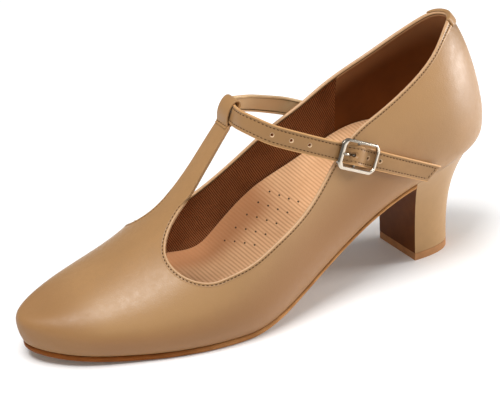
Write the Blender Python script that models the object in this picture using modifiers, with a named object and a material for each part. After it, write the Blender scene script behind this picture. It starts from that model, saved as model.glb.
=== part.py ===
"""Latin dance shoe for the left foot: T-bar, ankle strap with a buckle, covered block heel.

The toe points to -X and the heel to +X, the outer side of the foot is at -Y, the floor is Z = 0.
Tables are in millimetres. Their x runs from the toe end of the feather line (0) to its heel end.
The feather line is the edge where the upper meets the sole and the heel.
"""
import math

import bmesh
import bpy
import numpy as np

MM = 0.001
ORIGIN_X = 122.6          # table x that lies over the frame's origin
ORIGIN_Y = -1.6           # table y that lies over the frame's origin

# Main sizes
LENGTH = 242.0            # feather line, toe to heel
WALL = 1.8                # leather and lining of the upper
SEAM_GAP = 0.3            # between pieces that lie on each other
INSOLE_INSET = 2.5        # from the feather line to the insole's lower edge
FOOTBED_INSET = 3.0       # from the upper's outside to the insole's upper edge

# Sole's under face: toe spring, flat tread, arch, heel seat
TOE_SPRING = 4.9
X_SPRING = 62.7           # tread starts
X_ARCH = 91.2             # tread ends
X_BREAST = 193.3          # sole ends at the heel's front
Z_BREAST = 44.9
SEAT_SLOPE = 0.242
SEAT_CURVE = 0.0044
SOLE_T_TREAD = 3.1
SOLE_T_WAIST = 2.3

# Feather line seen from above
TOE_Y = 3.2
HEEL_Y = 0.1
OUTLINE = (               # x, inner side y, outer side -y
    (10.0, 18.0, 14.4),
    (36.0, 31.5, 28.8),
    (72.0, 37.0, 39.8),
    (98.0, 36.9, 40.3),
    (130.0, 26.9, 32.8),
    (165.0, 22.5, 28.5),
    (205.0, 25.0, 27.1),
    (230.0, 16.6, 17.7),
)

# Ridge along the top of the last, on which the T-bar runs
RIDGE_FRONT = 20.0        # ridge x over the toe end of the feather line
RIDGE_BACK = 226.5        # ridge x over its heel end, were it not for the next two
RIDGE_END = 213.0         # ridge stops here, and the heel's sections fan round this end
RIDGE_EASE = 7.0
RIDGE_Z = ((20.0, 27.9), (40.0, 35.4), (62.0, 45.4), (85.0, 65.2), (112.0, 98.3),
           (160.0, 116.9), (224.0, 127.6))                    # x, z
RIDGE_Y = ((20.0, 4.7), (62.0, 3.3), (112.0, -0.4), (224.0, -0.2))     # x, y

# Sections of the last, feather line to ridge
BULGE_RISE = 0.2          # share of a section's rise that lies below its widest point
COUNTER_FULL = 2.6        # added power of the lower curve round the heel
COUNTER_X = (205.0, 236.0)
SECTION = (               # x, bulge past the feather line, bulge height, fullness across, fullness up
    (0.0, 2.3, 9.7, 2.30, 2.10),
    (70.0, 2.6, 9.7, 2.06, 1.97),
    (130.0, 5.0, 17.2, 1.99, 2.02),
    (200.0, 4.6, 16.0, 1.74, 1.75),
    (242.0, 5.4, 15.0, 2.31, 1.33),
)
SOFT_FROM = 28.0          # outer side over the ball of the foot is softest from here
SOFT_TO = 70.0            # to here
SOFT_END = 125.0          # and as the inner side from here
SOFT_HEIGHT = 1.5         # taken from the bulge height where it is softest
SOFT_ACROSS = 0.20        # taken from the fullness across
SOFT_UP = 0.40            # taken from the fullness up

# Topline; its first row lies past the heel's middle, so that both sides meet level
TOPLINE = (               # share of the way from heel to toe, rise on the outer side, on the inner side
    (-0.05, 0.758, 0.760),
    (0.00, 0.766, 0.766),
    (0.05, 0.760, 0.758),
    (0.10, 0.716, 0.693),
    (0.15, 0.638, 0.619),
    (0.21, 0.559, 0.546),
    (0.30, 0.486, 0.481),
    (0.35, 0.463, 0.443),
    (0.40, 0.414, 0.420),
    (0.44, 0.367, 0.397),
    (0.48, 0.347, 0.373),
    (0.54, 0.363, 0.351),
    (0.60, 0.397, 0.357),
    (0.66, 0.450, 0.388),
    (0.73, 0.481, 0.405),
)
THROAT_SHARE = 0.729      # front end of the openings beside the T-bar
THROAT_RISE = 0.745
THROAT_LOW = 0.645        # lower edge starts to round up
THROAT_TOP = 0.686        # T-bar's edge starts to round out
LOOP_SHARE = 0.576        # T-bar's top end, inside its fold
TBAR_HALF = ((78.0, 8.4), (92.0, 6.3), (105.0, 5.5))          # ridge x, half width

# Insole
FOOTBED = (               # share, height over the feather line at the outer edge, the middle, the inner edge
    (0.000, 6.2, 6.2, 6.2),
    (0.060, 6.4, 5.3, 6.8),
    (0.140, 6.7, 4.8, 9.6),
    (0.240, 7.0, 4.6, 15.6),
    (0.330, 7.2, 4.6, 20.0),
    (0.400, 7.2, 4.6, 23.4),
    (0.445, 7.2, 4.6, 24.0),
    (0.485, 7.2, 4.6, 20.4),
    (0.520, 7.2, 4.6, 14.6),
    (0.550, 7.2, 4.6, 10.0),
    (0.580, 7.2, 4.6, 9.2),
    (0.620, 7.2, 4.6, 10.6),
    (0.700, 6.8, 4.6, 9.0),
    (0.880, 5.4, 4.4, 5.8),
    (1.000, 4.2, 4.2, 4.2),
)

# Heel
HEEL_FRONT_X = 199.6      # front of the heel's base
HEEL_DEPTH = 26.0
HEEL_HALF_W = 16.0
HEEL_ROUND = 2.5          # 2 is an ellipse, more is squarer
HEEL_FLARE = 3.0
LIFT_T = 4.0

# Ankle strap, from its sewn end on the inner quarter, through the T-bar's fold, to its free end
STRAP_W = 9.3
STRAP_T = 1.4
STRAP_STAND = 0.5         # from the quarter to the strap lying on it
STRAP_CUT = 3.6           # upper corner of the free end past the lower one
FOLD_T = 1.5              # leather of the T-bar's fold round the strap
FOLD_SLACK = 0.5          # beside the strap's edges
FOLD_BACK = 1.0           # behind and in front of the strap's middle line
FOLD_FRONT = 2.0
FOLD_FLAP = 2.2           # sewn-down end below the strap
HOLE_D = 1.9
HOLES = (-44.1, -34.9, -25.8, 6.9, 13.9)      # along the strap from the buckle's centre bar
PRONG_SLOT = (-6.2, -3.0)                     # ends of the slot that the prong comes through
STRAP = (                 # x, y, z, lean of its outer face (None: as the quarter on which it lies)
    (178.0, None, 69.0, None),
    (168.0, None, 73.2, None),
    (156.5, 28.0, 78.0, 8.0),
    (144.0, 24.8, 83.2, 18.0),
    (131.5, 19.5, 88.3, 25.0),
    (122.2, 14.2, 92.0, 28.0),
    (110.5, 6.4, 95.5, 28.5),
    (108.7, -0.5, 96.1, 24.0),
    (107.6, -8.0, 95.7, 15.5),
    (107.9, -16.0, 95.5, 12.5),
    (111.1, -21.6, 93.7, 11.0),
    (115.0, -25.2, 91.4, 12.0),
    (123.2, -29.0, 87.6, 10.0),
    (136.7, -32.3, 81.8, 6.0),
    (144.9, -33.3, 78.2, 4.0),
    (156.1, None, 73.2, None),
    (170.0, None, 66.8, None),
    (185.0, None, 59.9, None),
    (200.9, -32.9, 52.4, -14.0),
)
FOLD_ROW = 7              # row of STRAP inside the T-bar's fold
BUCKLE_ROW = 15           # row of STRAP at the buckle's centre bar

# Buckle: along the strap, across it, and its bars
BUCKLE_L = 22.2
BUCKLE_W = 14.6
BUCKLE_CORNER = 1.9
BUCKLE_BAR_R = 0.9
CENTRE_BAR_R = 0.7
BUCKLE_CLEAR = 0.5        # from the strap's face to the end bars
PRONG_R = 0.45
STRAP_ARCH = 3.0          # rise of the strap over the centre bar
STRAP_ARCH_HALF = 8.8

TAN = (0.46, 0.27, 0.13, 1.0)
BROWN = (0.17, 0.08, 0.035, 1.0)
LIFT = (0.50, 0.27, 0.13, 1.0)
SOCK = (0.52, 0.30, 0.16, 1.0)
GOLD = (0.80, 0.72, 0.58, 1.0)


def natural(rows):
    """Natural cubic through rows of (knot, value), as a function; straight past both ends."""
    t, y = np.array(rows, float).T
    h = np.diff(t)
    n = len(t)
    a, r = np.eye(n), np.zeros(n)
    for i in range(1, n - 1):
        a[i, i - 1:i + 2] = h[i - 1], 2 * (h[i - 1] + h[i]), h[i]
        r[i] = 6 * ((y[i + 1] - y[i]) / h[i] - (y[i] - y[i - 1]) / h[i - 1])
    m = np.linalg.solve(a, r)

    def value(x):
        x = np.asarray(x, float)
        i = np.clip(np.searchsorted(t, x, side="right") - 1, 0, n - 2)
        p, q, hi = t[i + 1] - x, x - t[i], h[i]
        inside = ((m[i] * p**3 + m[i + 1] * q**3) / (6 * hi)
                  + (y[i] / hi - m[i] * hi / 6) * p + (y[i + 1] / hi - m[i + 1] * hi / 6) * q)
        low = y[0] + (x - t[0]) * ((y[1] - y[0]) / h[0] - h[0] * m[1] / 6)
        high = y[-1] + (x - t[-1]) * ((y[-1] - y[-2]) / h[-1] + h[-1] * m[-2] / 6)
        return np.where(x < t[0], low, np.where(x > t[-1], high, inside))
    return value


def ring(points):
    """Closed cubic through plan points; returns it as a function of chord length, and the knots."""
    p = np.array(points, float)
    n = len(p)
    h = np.linalg.norm(np.roll(p, -1, 0) - p, axis=1)
    a, r = np.zeros((n, n)), np.zeros((n, 2))
    for i in range(n):
        before, after = h[i - 1], h[i]
        a[i, i - 1] += before
        a[i, i] += 2 * (before + after)
        a[i, (i + 1) % n] += after
        r[i] = 6 * ((p[(i + 1) % n] - p[i]) / after - (p[i] - p[i - 1]) / before)
    m = np.linalg.solve(a, r)
    knots = np.concatenate([[0.0], np.cumsum(h)])

    def value(t):
        t = np.mod(np.asarray(t, float), knots[-1])
        i = np.clip(np.searchsorted(knots, t, side="right") - 1, 0, n - 1)
        j, hi = (i + 1) % n, h[i][:, None]
        b, c = (knots[i + 1] - t)[:, None], (t - knots[i])[:, None]
        return ((m[i] * b**3 + m[j] * c**3) / (6 * hi)
                + (p[i] / hi - m[i] * hi / 6) * b + (p[j] / hi - m[j] * hi / 6) * c)
    return value, knots


OUTER, INNER = "outer", "inner"
FEATHER, KNOTS = ring([(LENGTH, HEEL_Y)] + [(x, -o) for x, _, o in OUTLINE[::-1]]
                      + [(0.0, TOE_Y)] + [(x, i) for x, i, _ in OUTLINE])
TOE_KNOT = KNOTS[len(OUTLINE) + 1]
ridge_z, ridge_y = natural(RIDGE_Z), natural(RIDGE_Y)
bulge, bulge_z, full_across, full_up = (
    natural([(row[0], row[i]) for row in SECTION]) for i in range(1, 5))
topline = {side: natural([(row[0], row[i]) for row in TOPLINE])
           for side, i in ((OUTER, 1), (INNER, 2))}


def smoothstep(low, high, x):
    t = np.clip((x - low) / (high - low), 0, 1)
    return t * t * (3 - 2 * t)


def edge(share, side):
    """Plan points of the feather line at shares of the way from heel (0) to toe (1)."""
    share = np.atleast_1d(np.asarray(share, float))
    if side == OUTER:
        return FEATHER(share * TOE_KNOT)
    return FEATHER(KNOTS[-1] + share * (TOE_KNOT - KNOTS[-1]))


def inset_edge(share, side, inset):
    """Feather line moved inwards in plan."""
    step = 0.002
    d = edge(np.minimum(share + step, 1 + step), side) - edge(share - step, side)
    normal = np.stack([d[:, 1], -d[:, 0]], 1) * (-1 if side == OUTER else 1)
    normal /= np.linalg.norm(normal, axis=1)[:, None]
    return edge(share, side) - inset * normal


def under_face(x):
    """Height of the sole's under face."""
    x = np.asarray(x, float)
    z = TOE_SPRING * np.clip((X_SPRING - x) / X_SPRING, 0, None) ** 2
    run = X_BREAST - X_ARCH
    t = np.clip((x - X_ARCH) / run, 0, 1)
    z = z + Z_BREAST * (3 * t**2 - 2 * t**3) + SEAT_SLOPE * run * (t**3 - t**2)
    back = np.clip(x - X_BREAST, 0, None)
    return z + SEAT_SLOPE * back - 0.5 * SEAT_CURVE * back**2


def sole_top(x):
    """Height of the sole's upper face, and of the heel's seat."""
    t = np.clip((np.asarray(x, float) - X_ARCH) / (X_BREAST - X_ARCH), 0, 1)
    return under_face(x) + SOLE_T_TREAD + (SOLE_T_WAIST - SOLE_T_TREAD) * t


def feather_z(x):
    return sole_top(x) + SEAM_GAP


def section_base(share, side):
    """Feather point and ridge point of the sections at these shares."""
    middle = 0.5 * (edge(share, OUTER)[:, 0] + edge(share, INNER)[:, 0])
    x = RIDGE_FRONT + middle * (RIDGE_BACK - RIDGE_FRONT) / LENGTH
    x = RIDGE_END - RIDGE_EASE * np.log1p(np.exp((RIDGE_END - x) / RIDGE_EASE))
    return edge(share, side), np.stack([x, ridge_y(x)], 1)


def section_shape(x, side):
    """Bulge, bulge height and both fullnesses of the sections at x."""
    out, high, across, up = (f(x) for f in (bulge, bulge_z, full_across, full_up))
    if side == OUTER:
        soft = smoothstep(0, SOFT_FROM, x) * (1 - smoothstep(SOFT_TO, SOFT_END, x))
        high, across, up = high - SOFT_HEIGHT * soft, across - SOFT_ACROSS * soft, up - SOFT_UP * soft
    return out, high, across, up


def last_surface(share, side, rise):
    """Outside of the upper: for each share a row of points at rises 0 (feather line) to 1 (ridge).

    Below the widest point a parabola leans out from the feather line, steeper round the heel.
    Above it a superellipse closes on the ridge, and near the ridge the section takes on the
    ridge's slope.
    """
    foot, top = section_base(share, side)
    rise = np.asarray(rise, float)
    x = foot[:, 0]
    reach = np.linalg.norm(foot - top, axis=1)[:, None]
    out, high, across, up = (v[:, None] for v in section_shape(x, side))
    low_z, top_z = feather_z(x)[:, None], ridge_z(top[:, 0])[:, None]
    s = np.clip(rise / BULGE_RISE, 0, 1)
    turn = np.clip((rise - BULGE_RISE) / (1 - BULGE_RISE), 0, 1) * math.pi / 2
    lower = rise < BULGE_RISE
    power = 2 + COUNTER_FULL * smoothstep(*COUNTER_X, x)[:, None]
    scale = np.where(lower, 1 + out / reach * (1 - (1 - s) ** power),
                     (1 + out / reach) * np.clip(np.cos(turn), 0, 1) ** (2 / across))
    z = np.where(lower, low_z + high * s,
                 low_z + high + (top_z - low_z - high) * np.sin(turn) ** (2 / up))
    plan = top[:, None, :] + (foot - top)[:, None, :] * scale[..., None]
    slope = (ridge_z(top[:, 0] + 0.5) - ridge_z(top[:, 0] - 0.5))[:, None]
    z = z + np.where(lower, 0, np.sin(turn) ** 3) * slope * (plan[..., 0] - top[:, None, 0])
    return np.concatenate([plan, z[..., None]], -1)


def strip_rise(share, side, half):
    """Rise at which a section is the given half width away from the ridge."""
    foot, top = section_base(share, side)
    out, _, across, _ = section_shape(foot[:, 0], side)
    reach = np.linalg.norm(foot - top, axis=1) + out
    turn = np.arccos(np.clip(half / reach, 0, 1) ** (across / 2))
    return BULGE_RISE + (1 - BULGE_RISE) * turn / (math.pi / 2)


def wall_top(share, side):
    """Rise of the topline, rounded up to the front end of the throat."""
    t = np.clip((share - THROAT_LOW) / (THROAT_SHARE - THROAT_LOW), 0, 1)
    low = topline[side](np.minimum(share, THROAT_SHARE))
    return np.where(share >= THROAT_SHARE, THROAT_RISE,
                    low + (THROAT_RISE - low) * (1 - (1 - t**2) ** 0.62))


def tbar_edge(share, side):
    """Rise of the T-bar's edge, rounded out to the front end of the throat."""
    t = np.clip((share - THROAT_TOP) / (THROAT_SHARE - THROAT_TOP), 0, 1)
    x = section_base(share, side)[1][:, 0]
    strip = strip_rise(share, side, np.interp(x, *np.array(TBAR_HALF).T))
    return np.where(share >= THROAT_SHARE, THROAT_RISE,
                    THROAT_RISE + (strip - THROAT_RISE) * np.sqrt(1 - t**2))


def wall_y(side, x, z):
    """The y of the upper's outside at a point of the quarter."""
    share = np.linspace(0.1, 0.55, 91)
    rise = np.linspace(0.02, 0.6, 117)
    grid = last_surface(share, side, np.broadcast_to(rise, (91, 117)))
    at_z = np.array([[np.interp(z, row[:, 2], row[:, k]) for k in (0, 1)] for row in grid])
    return float(np.interp(x, at_z[::-1, 0], at_z[::-1, 1]))


def metres(points):
    """Table millimetres to the frame's metres."""
    return (np.asarray(points, float) - (ORIGIN_X, ORIGIN_Y, 0.0)) * MM


def material(name, colour, roughness, metallic=0.0):
    mat = bpy.data.materials.new(name)
    mat.use_nodes = True
    shader = mat.node_tree.nodes["Principled BSDF"]
    shader.inputs["Base Color"].default_value = colour
    shader.inputs["Roughness"].default_value = roughness
    shader.inputs["Metallic"].default_value = metallic
    return mat


def smooth(mesh):
    mesh.shade_smooth()
    mesh.set_sharp_from_angle(angle=math.radians(35))


def new_object(name, points, faces, collection, mat=None):
    """Mesh object from table points and faces, with its faces turned outwards."""
    mesh = bpy.data.meshes.new(name)
    mesh.from_pydata([tuple(p) for p in metres(points)], [], faces)
    bm = bmesh.new()
    bm.from_mesh(mesh)
    bmesh.ops.remove_doubles(bm, verts=bm.verts, dist=1e-6)
    if all(e.is_manifold for e in bm.edges):
        bmesh.ops.recalc_face_normals(bm, faces=bm.faces)
    bm.to_mesh(mesh)
    bm.free()
    smooth(mesh)
    obj = bpy.data.objects.new(name, mesh)
    collection.objects.link(obj)
    if mat:
        mesh.materials.append(mat)
    return obj


def boolean(obj, other, operation):
    mod = obj.modifiers.new(other.name, "BOOLEAN")
    mod.object = other
    mod.operation = operation
    mod.solver = "EXACT"


def loft(rings, closed_ends=True):
    """Points and faces of a solid through closed rings with the same number of points."""
    n = len(rings[0])
    points = np.concatenate(rings)
    faces = [(k * n + i, k * n + (i + 1) % n, (k + 1) * n + (i + 1) % n, (k + 1) * n + i)
             for k in range(len(rings) - 1) for i in range(n)]
    if closed_ends:
        faces += [tuple(range(n))[::-1], tuple((len(rings) - 1) * n + i for i in range(n))]
    return points, faces


def column_shares():
    """Section shares from heel to toe, close together where the throat rounds."""
    return np.concatenate([
        np.linspace(0, LOOP_SHARE, 27)[:-1],
        np.linspace(LOOP_SHARE, THROAT_LOW, 6)[:-1],
        THROAT_LOW + (THROAT_SHARE - THROAT_LOW) * np.sin(np.linspace(0, math.pi / 2, 13))[:-1],
        np.linspace(THROAT_SHARE, 1, 16)])


def upper_surface(wall_rows=12, top_rows=4):
    """Outside of the upper as one open mesh: the wall all round, and the vamp's top with the T-bar."""
    share = column_shares()
    last = len(share) - 1
    first_top = int(np.argmin(abs(share - LOOP_SHARE)))
    throat = int(np.argmin(abs(share - THROAT_SHARE)))
    points, faces = [], []

    def add(row):
        points.extend(row)
        return list(range(len(points) - len(row), len(points)))

    columns = {}
    for side in (OUTER, INNER):
        wall_rise = wall_top(share, side)[:, None] * np.linspace(0, 1, wall_rows + 1)
        wall = last_surface(share, side, wall_rise)
        start = tbar_edge(share, side)[:, None]
        top = last_surface(share, side, start + (1 - start) * np.linspace(0, 1, top_rows + 1))
        for k in range(last + 1):
            if side == INNER and k in (0, last):
                columns[side, k] = columns[OUTER, k]
                continue
            low = add(wall[k])
            high = []
            if k >= first_top:
                ridge = columns[OUTER, k][1][-1:] if side == INNER else []
                body = top[k][1:-1] if k >= throat else top[k][:-1]
                high = (low[-1:] if k >= throat else []) + add(body)
                high += ridge or add(top[k][-1:])
            columns[side, k] = low, high
    for side in (OUTER, INNER):
        for k in range(last):
            for part in (0, 1):
                a, b = columns[side, k][part], columns[side, k + 1][part]
                for i in range(min(len(a), len(b)) - 1):
                    quad = (a[i], b[i], b[i + 1], a[i + 1])
                    faces.append(quad if side == INNER else quad[::-1])
    return points, faces


class StrapPath:
    """Middle line of the strap with its directions: along, across (up) and out."""

    def __init__(self):
        rows = []
        for x, y, z, lean in STRAP:
            if y is None:
                side, out = (INNER, 1) if len(rows) < FOLD_ROW else (OUTER, -1)
                below, y, above = (wall_y(side, x, z + d) * out for d in (-4.0, 0.0, 4.0))
                lean = math.degrees(math.atan((below - above) / 8.0))
                y = out * (max(y, (below + above) / 2) + STRAP_STAND + STRAP_T / 2)
            rows.append((x, y, z, lean))
        rows = np.array(rows)
        step = np.linalg.norm(np.diff(rows[:, :3], axis=0), axis=1)
        self.knots = np.concatenate([[0.0], np.cumsum(step)])
        self.curves = [natural(np.stack([self.knots, rows[:, i]], 1)) for i in range(4)]
        self.fold = self.knots[FOLD_ROW]
        self.buckle = self.knots[BUCKLE_ROW]
        self.length = self.knots[-1]

    def middle(self, s):
        return np.stack([self.curves[i](s) for i in range(3)], -1)

    def frame(self, s):
        """Along, across and out at path lengths s."""
        along = self.middle(s + 0.1) - self.middle(s - 0.1)
        along /= np.linalg.norm(along, axis=-1, keepdims=True)
        lean = np.radians(self.curves[3](s))[..., None]
        flat = np.stack([along[..., 1], -along[..., 0], 0 * along[..., 0]], -1)
        flat /= np.linalg.norm(flat, axis=-1, keepdims=True)
        out = flat * np.cos(lean) + np.array([0, 0, 1.0]) * np.sin(lean)
        out = out - along * np.sum(along * out, -1, keepdims=True)
        out /= np.linalg.norm(out, axis=-1, keepdims=True)
        return along, np.cross(out, along), out

    def arch(self, s):
        """Rise of the strap over the buckle's centre bar."""
        d = np.clip(np.abs(s - self.buckle) / STRAP_ARCH_HALF, 0, 1)
        return STRAP_ARCH * np.cos(d * math.pi / 2) ** 2

    def point(self, s, across, out):
        """Points at path lengths s, moved across and out of the middle line."""
        s, across, out = np.broadcast_arrays(*(np.asarray(v, float) for v in (s, across, out)))
        _, u, n = self.frame(s)
        return self.middle(s) + u * across[..., None] + n * out[..., None]


def strap_solid(path):
    """Flat band with eased edges, cut slanting at its free end."""
    near = np.linspace(path.buckle - 13, path.buckle + 13, 27)
    far = np.concatenate([np.linspace(0, near[0], 49)[:-1], near,
                          np.linspace(near[-1], path.length, 14)[1:]])
    ease, w, t = 0.35, STRAP_W / 2, STRAP_T / 2
    across = np.array([-w, -w + ease, w - ease, w, w, w - ease, -w + ease, -w])
    out = np.array([-t + ease, -t, -t, -t + ease, t - ease, t, t, t - ease])
    rings = []
    for s in far:
        slant = STRAP_CUT * max(0.0, 1 - (path.length - s) / 12.0)
        at = s + slant * (across / STRAP_W - 0.5)
        rings.append(path.point(at, across, out + path.arch(s)))
    return loft(rings)


def fold_solid(path):
    """T-bar's top end folded forwards round the strap and sewn down on the T-bar's front."""
    turn = np.arange(28) * math.pi / 14
    up, front = (np.sign(v) * abs(v) ** 0.3 for v in (np.cos(turn), np.sin(turn)))
    low_end = np.clip(-np.cos(turn), 0, 1) ** 6
    hole_u = STRAP_W / 2 + FOLD_SLACK
    middle, half = (FOLD_FRONT - FOLD_BACK) / 2, (FOLD_FRONT + FOLD_BACK) / 2
    inside = hole_u * up, middle + half * front
    outside = ((hole_u + FOLD_T + FOLD_FLAP * low_end) * up,
               middle + (half + FOLD_T) * front * np.where(front > 0, 1 - 0.6 * low_end, 1))
    reach = np.linspace(-1, 1, 5) * (TBAR_HALF[-1][1] - 0.1)
    rings = [path.point(path.fold + d, *outside) for d in reach]
    rings += [path.point(path.fold + d, *inside) for d in reach[::-1]]
    n = len(turn)
    points, faces = loft(rings, closed_ends=False)
    last = (len(rings) - 1) * n
    faces += [(last + i, last + (i + 1) % n, (i + 1) % n, i) for i in range(n)]
    return points, faces


def outsole_solid(count=45):
    """Sole from the heel's front to the toe, under the feather line."""
    share = np.linspace(0.5 * (breast_share(OUTER) + breast_share(INNER)), 1, count)
    outer, inner = edge(share, OUTER), edge(share, INNER)
    outer[0, 0] = inner[0, 0] = X_BREAST - SEAM_GAP
    inner[-1] = outer[-1]
    rings = [np.array([(*a, under_face(a[0])), (*b, under_face(b[0])),
                       (*b, sole_top(b[0])), (*a, sole_top(a[0]))]) for a, b in zip(outer, inner)]
    points, faces = loft(rings, closed_ends=False)
    return points, faces + [(3, 2, 1, 0)]


def wall_inside(share, side, height):
    """Plan points of the insole's upper edge, at heights over the feather line."""
    foot, top = section_base(share, side)
    rise = np.linspace(0, 0.6, 121)
    grid = last_surface(share, side, np.broadcast_to(rise, (len(share), len(rise))))
    level = feather_z(foot[:, 0]) + height
    plan = np.array([[np.interp(z, row[:, 2], row[:, k]) for k in (0, 1)] for z, row in zip(level, grid)])
    inward = (top - foot) / np.linalg.norm(top - foot, axis=1)[:, None]
    return plan + FOOTBED_INSET * inward


def footbed(share, columns):
    """Upper face of the insole: for each share a row of points from the outer wall to the inner wall.

    Both edges climb the inside of the upper, the inner one most, under the arch of the foot.
    """
    outer, middle, inner = (natural([(row[0], row[i]) for row in FOOTBED])(share) for i in (1, 2, 3))
    t = np.linspace(-1, 1, columns)
    left, right = wall_inside(share, OUTER, outer), wall_inside(share, INNER, inner)
    plan = left[:, None] + (right - left)[:, None] * ((t + 1) / 2)[None, :, None]
    climb = np.where(t < 0, (outer - middle)[:, None], (inner - middle)[:, None])
    z = feather_z(plan[..., 0]) + middle[:, None] + climb * t**2 * (2.2 - 1.2 * abs(t))
    return np.concatenate([plan, z[..., None]], -1)


def insole_solid(count=41, columns=7):
    """Footbed closed underneath along the feather line; at heel and toe each ring shrinks to an edge."""
    share = np.linspace(0, 1, count)
    low = [inset_edge(share, side, INSOLE_INSET) for side in (OUTER, INNER)]
    for end in (0, -1):
        low[1][end] = low[0][end]
    rings = [np.concatenate([[(*a, feather_z(a[0])), (*b, feather_z(b[0]))], row[::-1]])
             for a, b, row in zip(*low, footbed(share, columns))]
    return loft(rings, closed_ends=False)


def breast_share(side):
    """Share at which a side's feather line crosses the heel's front."""
    share = np.linspace(0.1, 0.4, 301)
    return float(np.interp(-X_BREAST, -edge(share, side)[:, 0], share))


def heel_outline(count):
    """Base ring and seat ring of the heel, from the outer front corner round the back."""
    turn = np.linspace(-math.pi / 2, math.pi / 2, count)
    base = np.stack([HEEL_FRONT_X + HEEL_DEPTH * np.cos(turn).clip(0) ** (2 / HEEL_ROUND),
                     HEEL_HALF_W * np.sign(np.sin(turn)) * abs(np.sin(turn)) ** (2 / HEEL_ROUND)], 1)
    half = count // 2
    outer = edge(np.linspace(breast_share(OUTER), 0, half + 1), OUTER)
    inner = edge(np.linspace(0, breast_share(INNER), half + 1), INNER)[1:]
    return base, np.concatenate([outer, inner])


def heel_solid(levels=9, count=33):
    """Covered heel: a small base flaring hollow into the seat under the feather line."""
    base, seat = heel_outline(count)
    front = np.linspace(seat[-1], seat[0], 6)[1:-1]
    front_base = np.linspace(base[-1], base[0], 6)[1:-1]
    base, seat = np.concatenate([base, front_base]), np.concatenate([seat, front])
    rings = []
    for t in np.linspace(0, 1, levels):
        ease = t**HEEL_FLARE
        plan = base + (seat - base) * ease
        z = LIFT_T + (sole_top(seat[:, 0]) - LIFT_T) * t
        rings.append(np.column_stack([plan, z]))
    points, faces = loft(rings, closed_ends=False)
    n, top = len(base), (levels - 1) * len(base)
    faces.append(tuple(range(n))[::-1])
    half = count // 2
    for k in range(half):
        quad = [top + k, top + k + 1, top + count - 2 - k, top + count - 1 - k]
        faces.append(tuple(dict.fromkeys(quad)))
    faces.append(tuple([top] + [top + n - 1 - i for i in range(4)] + [top + count - 1]))
    return points, faces


def lift_solid(count=33):
    """Top lift under the heel."""
    base, _ = heel_outline(count)
    return loft([np.column_stack([base, np.full(count, z)]) for z in (0.0, LIFT_T - 0.2)])


def tube(name, points, radius, cyclic, collection, mat=None):
    """Round bar along table points, made with a bevelled curve."""
    curve = bpy.data.curves.new(name, "CURVE")
    curve.dimensions = "3D"
    curve.bevel_depth = radius * MM
    curve.bevel_resolution = 2
    curve.use_fill_caps = not cyclic
    spline = curve.splines.new("POLY")
    spline.points.add(len(points) - 1)
    for p, q in zip(spline.points, metres(points)):
        p.co = (*q, 1.0)
    spline.use_cyclic_u = cyclic
    source = bpy.data.objects.new(name + "_line", curve)
    mesh = bpy.data.meshes.new_from_object(source)
    bpy.data.objects.remove(source)
    bm = bmesh.new()
    bm.from_mesh(mesh)
    bmesh.ops.remove_doubles(bm, verts=bm.verts, dist=1e-6)
    bmesh.ops.recalc_face_normals(bm, faces=bm.faces)
    bm.to_mesh(mesh)
    bm.free()
    smooth(mesh)
    mesh.name = name
    obj = bpy.data.objects.new(name, mesh)
    collection.objects.link(obj)
    mesh.materials.clear()
    if mat:
        mesh.materials.append(mat)
    return obj


def on_buckle(path, rows):
    """Points given along, across and out from the middle of the line under both end bars."""
    reach = BUCKLE_L / 2 - BUCKLE_BAR_R
    front, back = path.middle(path.buckle + np.array([-reach, reach]))
    along = (back - front) / np.linalg.norm(back - front)
    out = path.frame(path.buckle + np.array([-reach, reach]))[2].mean(0)
    out = out - along * (along @ out)
    out /= np.linalg.norm(out)
    axes = along, np.cross(out, along), out
    return [(front + back) / 2 + sum(v * a for v, a in zip(row, axes)) for row in rows]


def punch(name, path, at, reach, collection):
    """Round cutter through the strap, or a slot when two places are given."""
    rings = []
    for out in (-reach, reach):
        turn = np.arange(16) * math.pi / 8
        along = HOLE_D / 2 * np.cos(turn) + np.where(np.cos(turn) > 0, at[-1], at[0])
        s = path.buckle + np.array([(at[0] + at[-1]) / 2])
        a, u, n = (v[0] for v in path.frame(s))
        middle = path.point(s, 0.0, path.arch(s))[0]
        shift = along - (at[0] + at[-1]) / 2
        rings.append(middle + shift[:, None] * a + (HOLE_D / 2 * np.sin(turn))[:, None] * u + out * n)
    return new_object(name, *loft(rings), collection)


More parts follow.
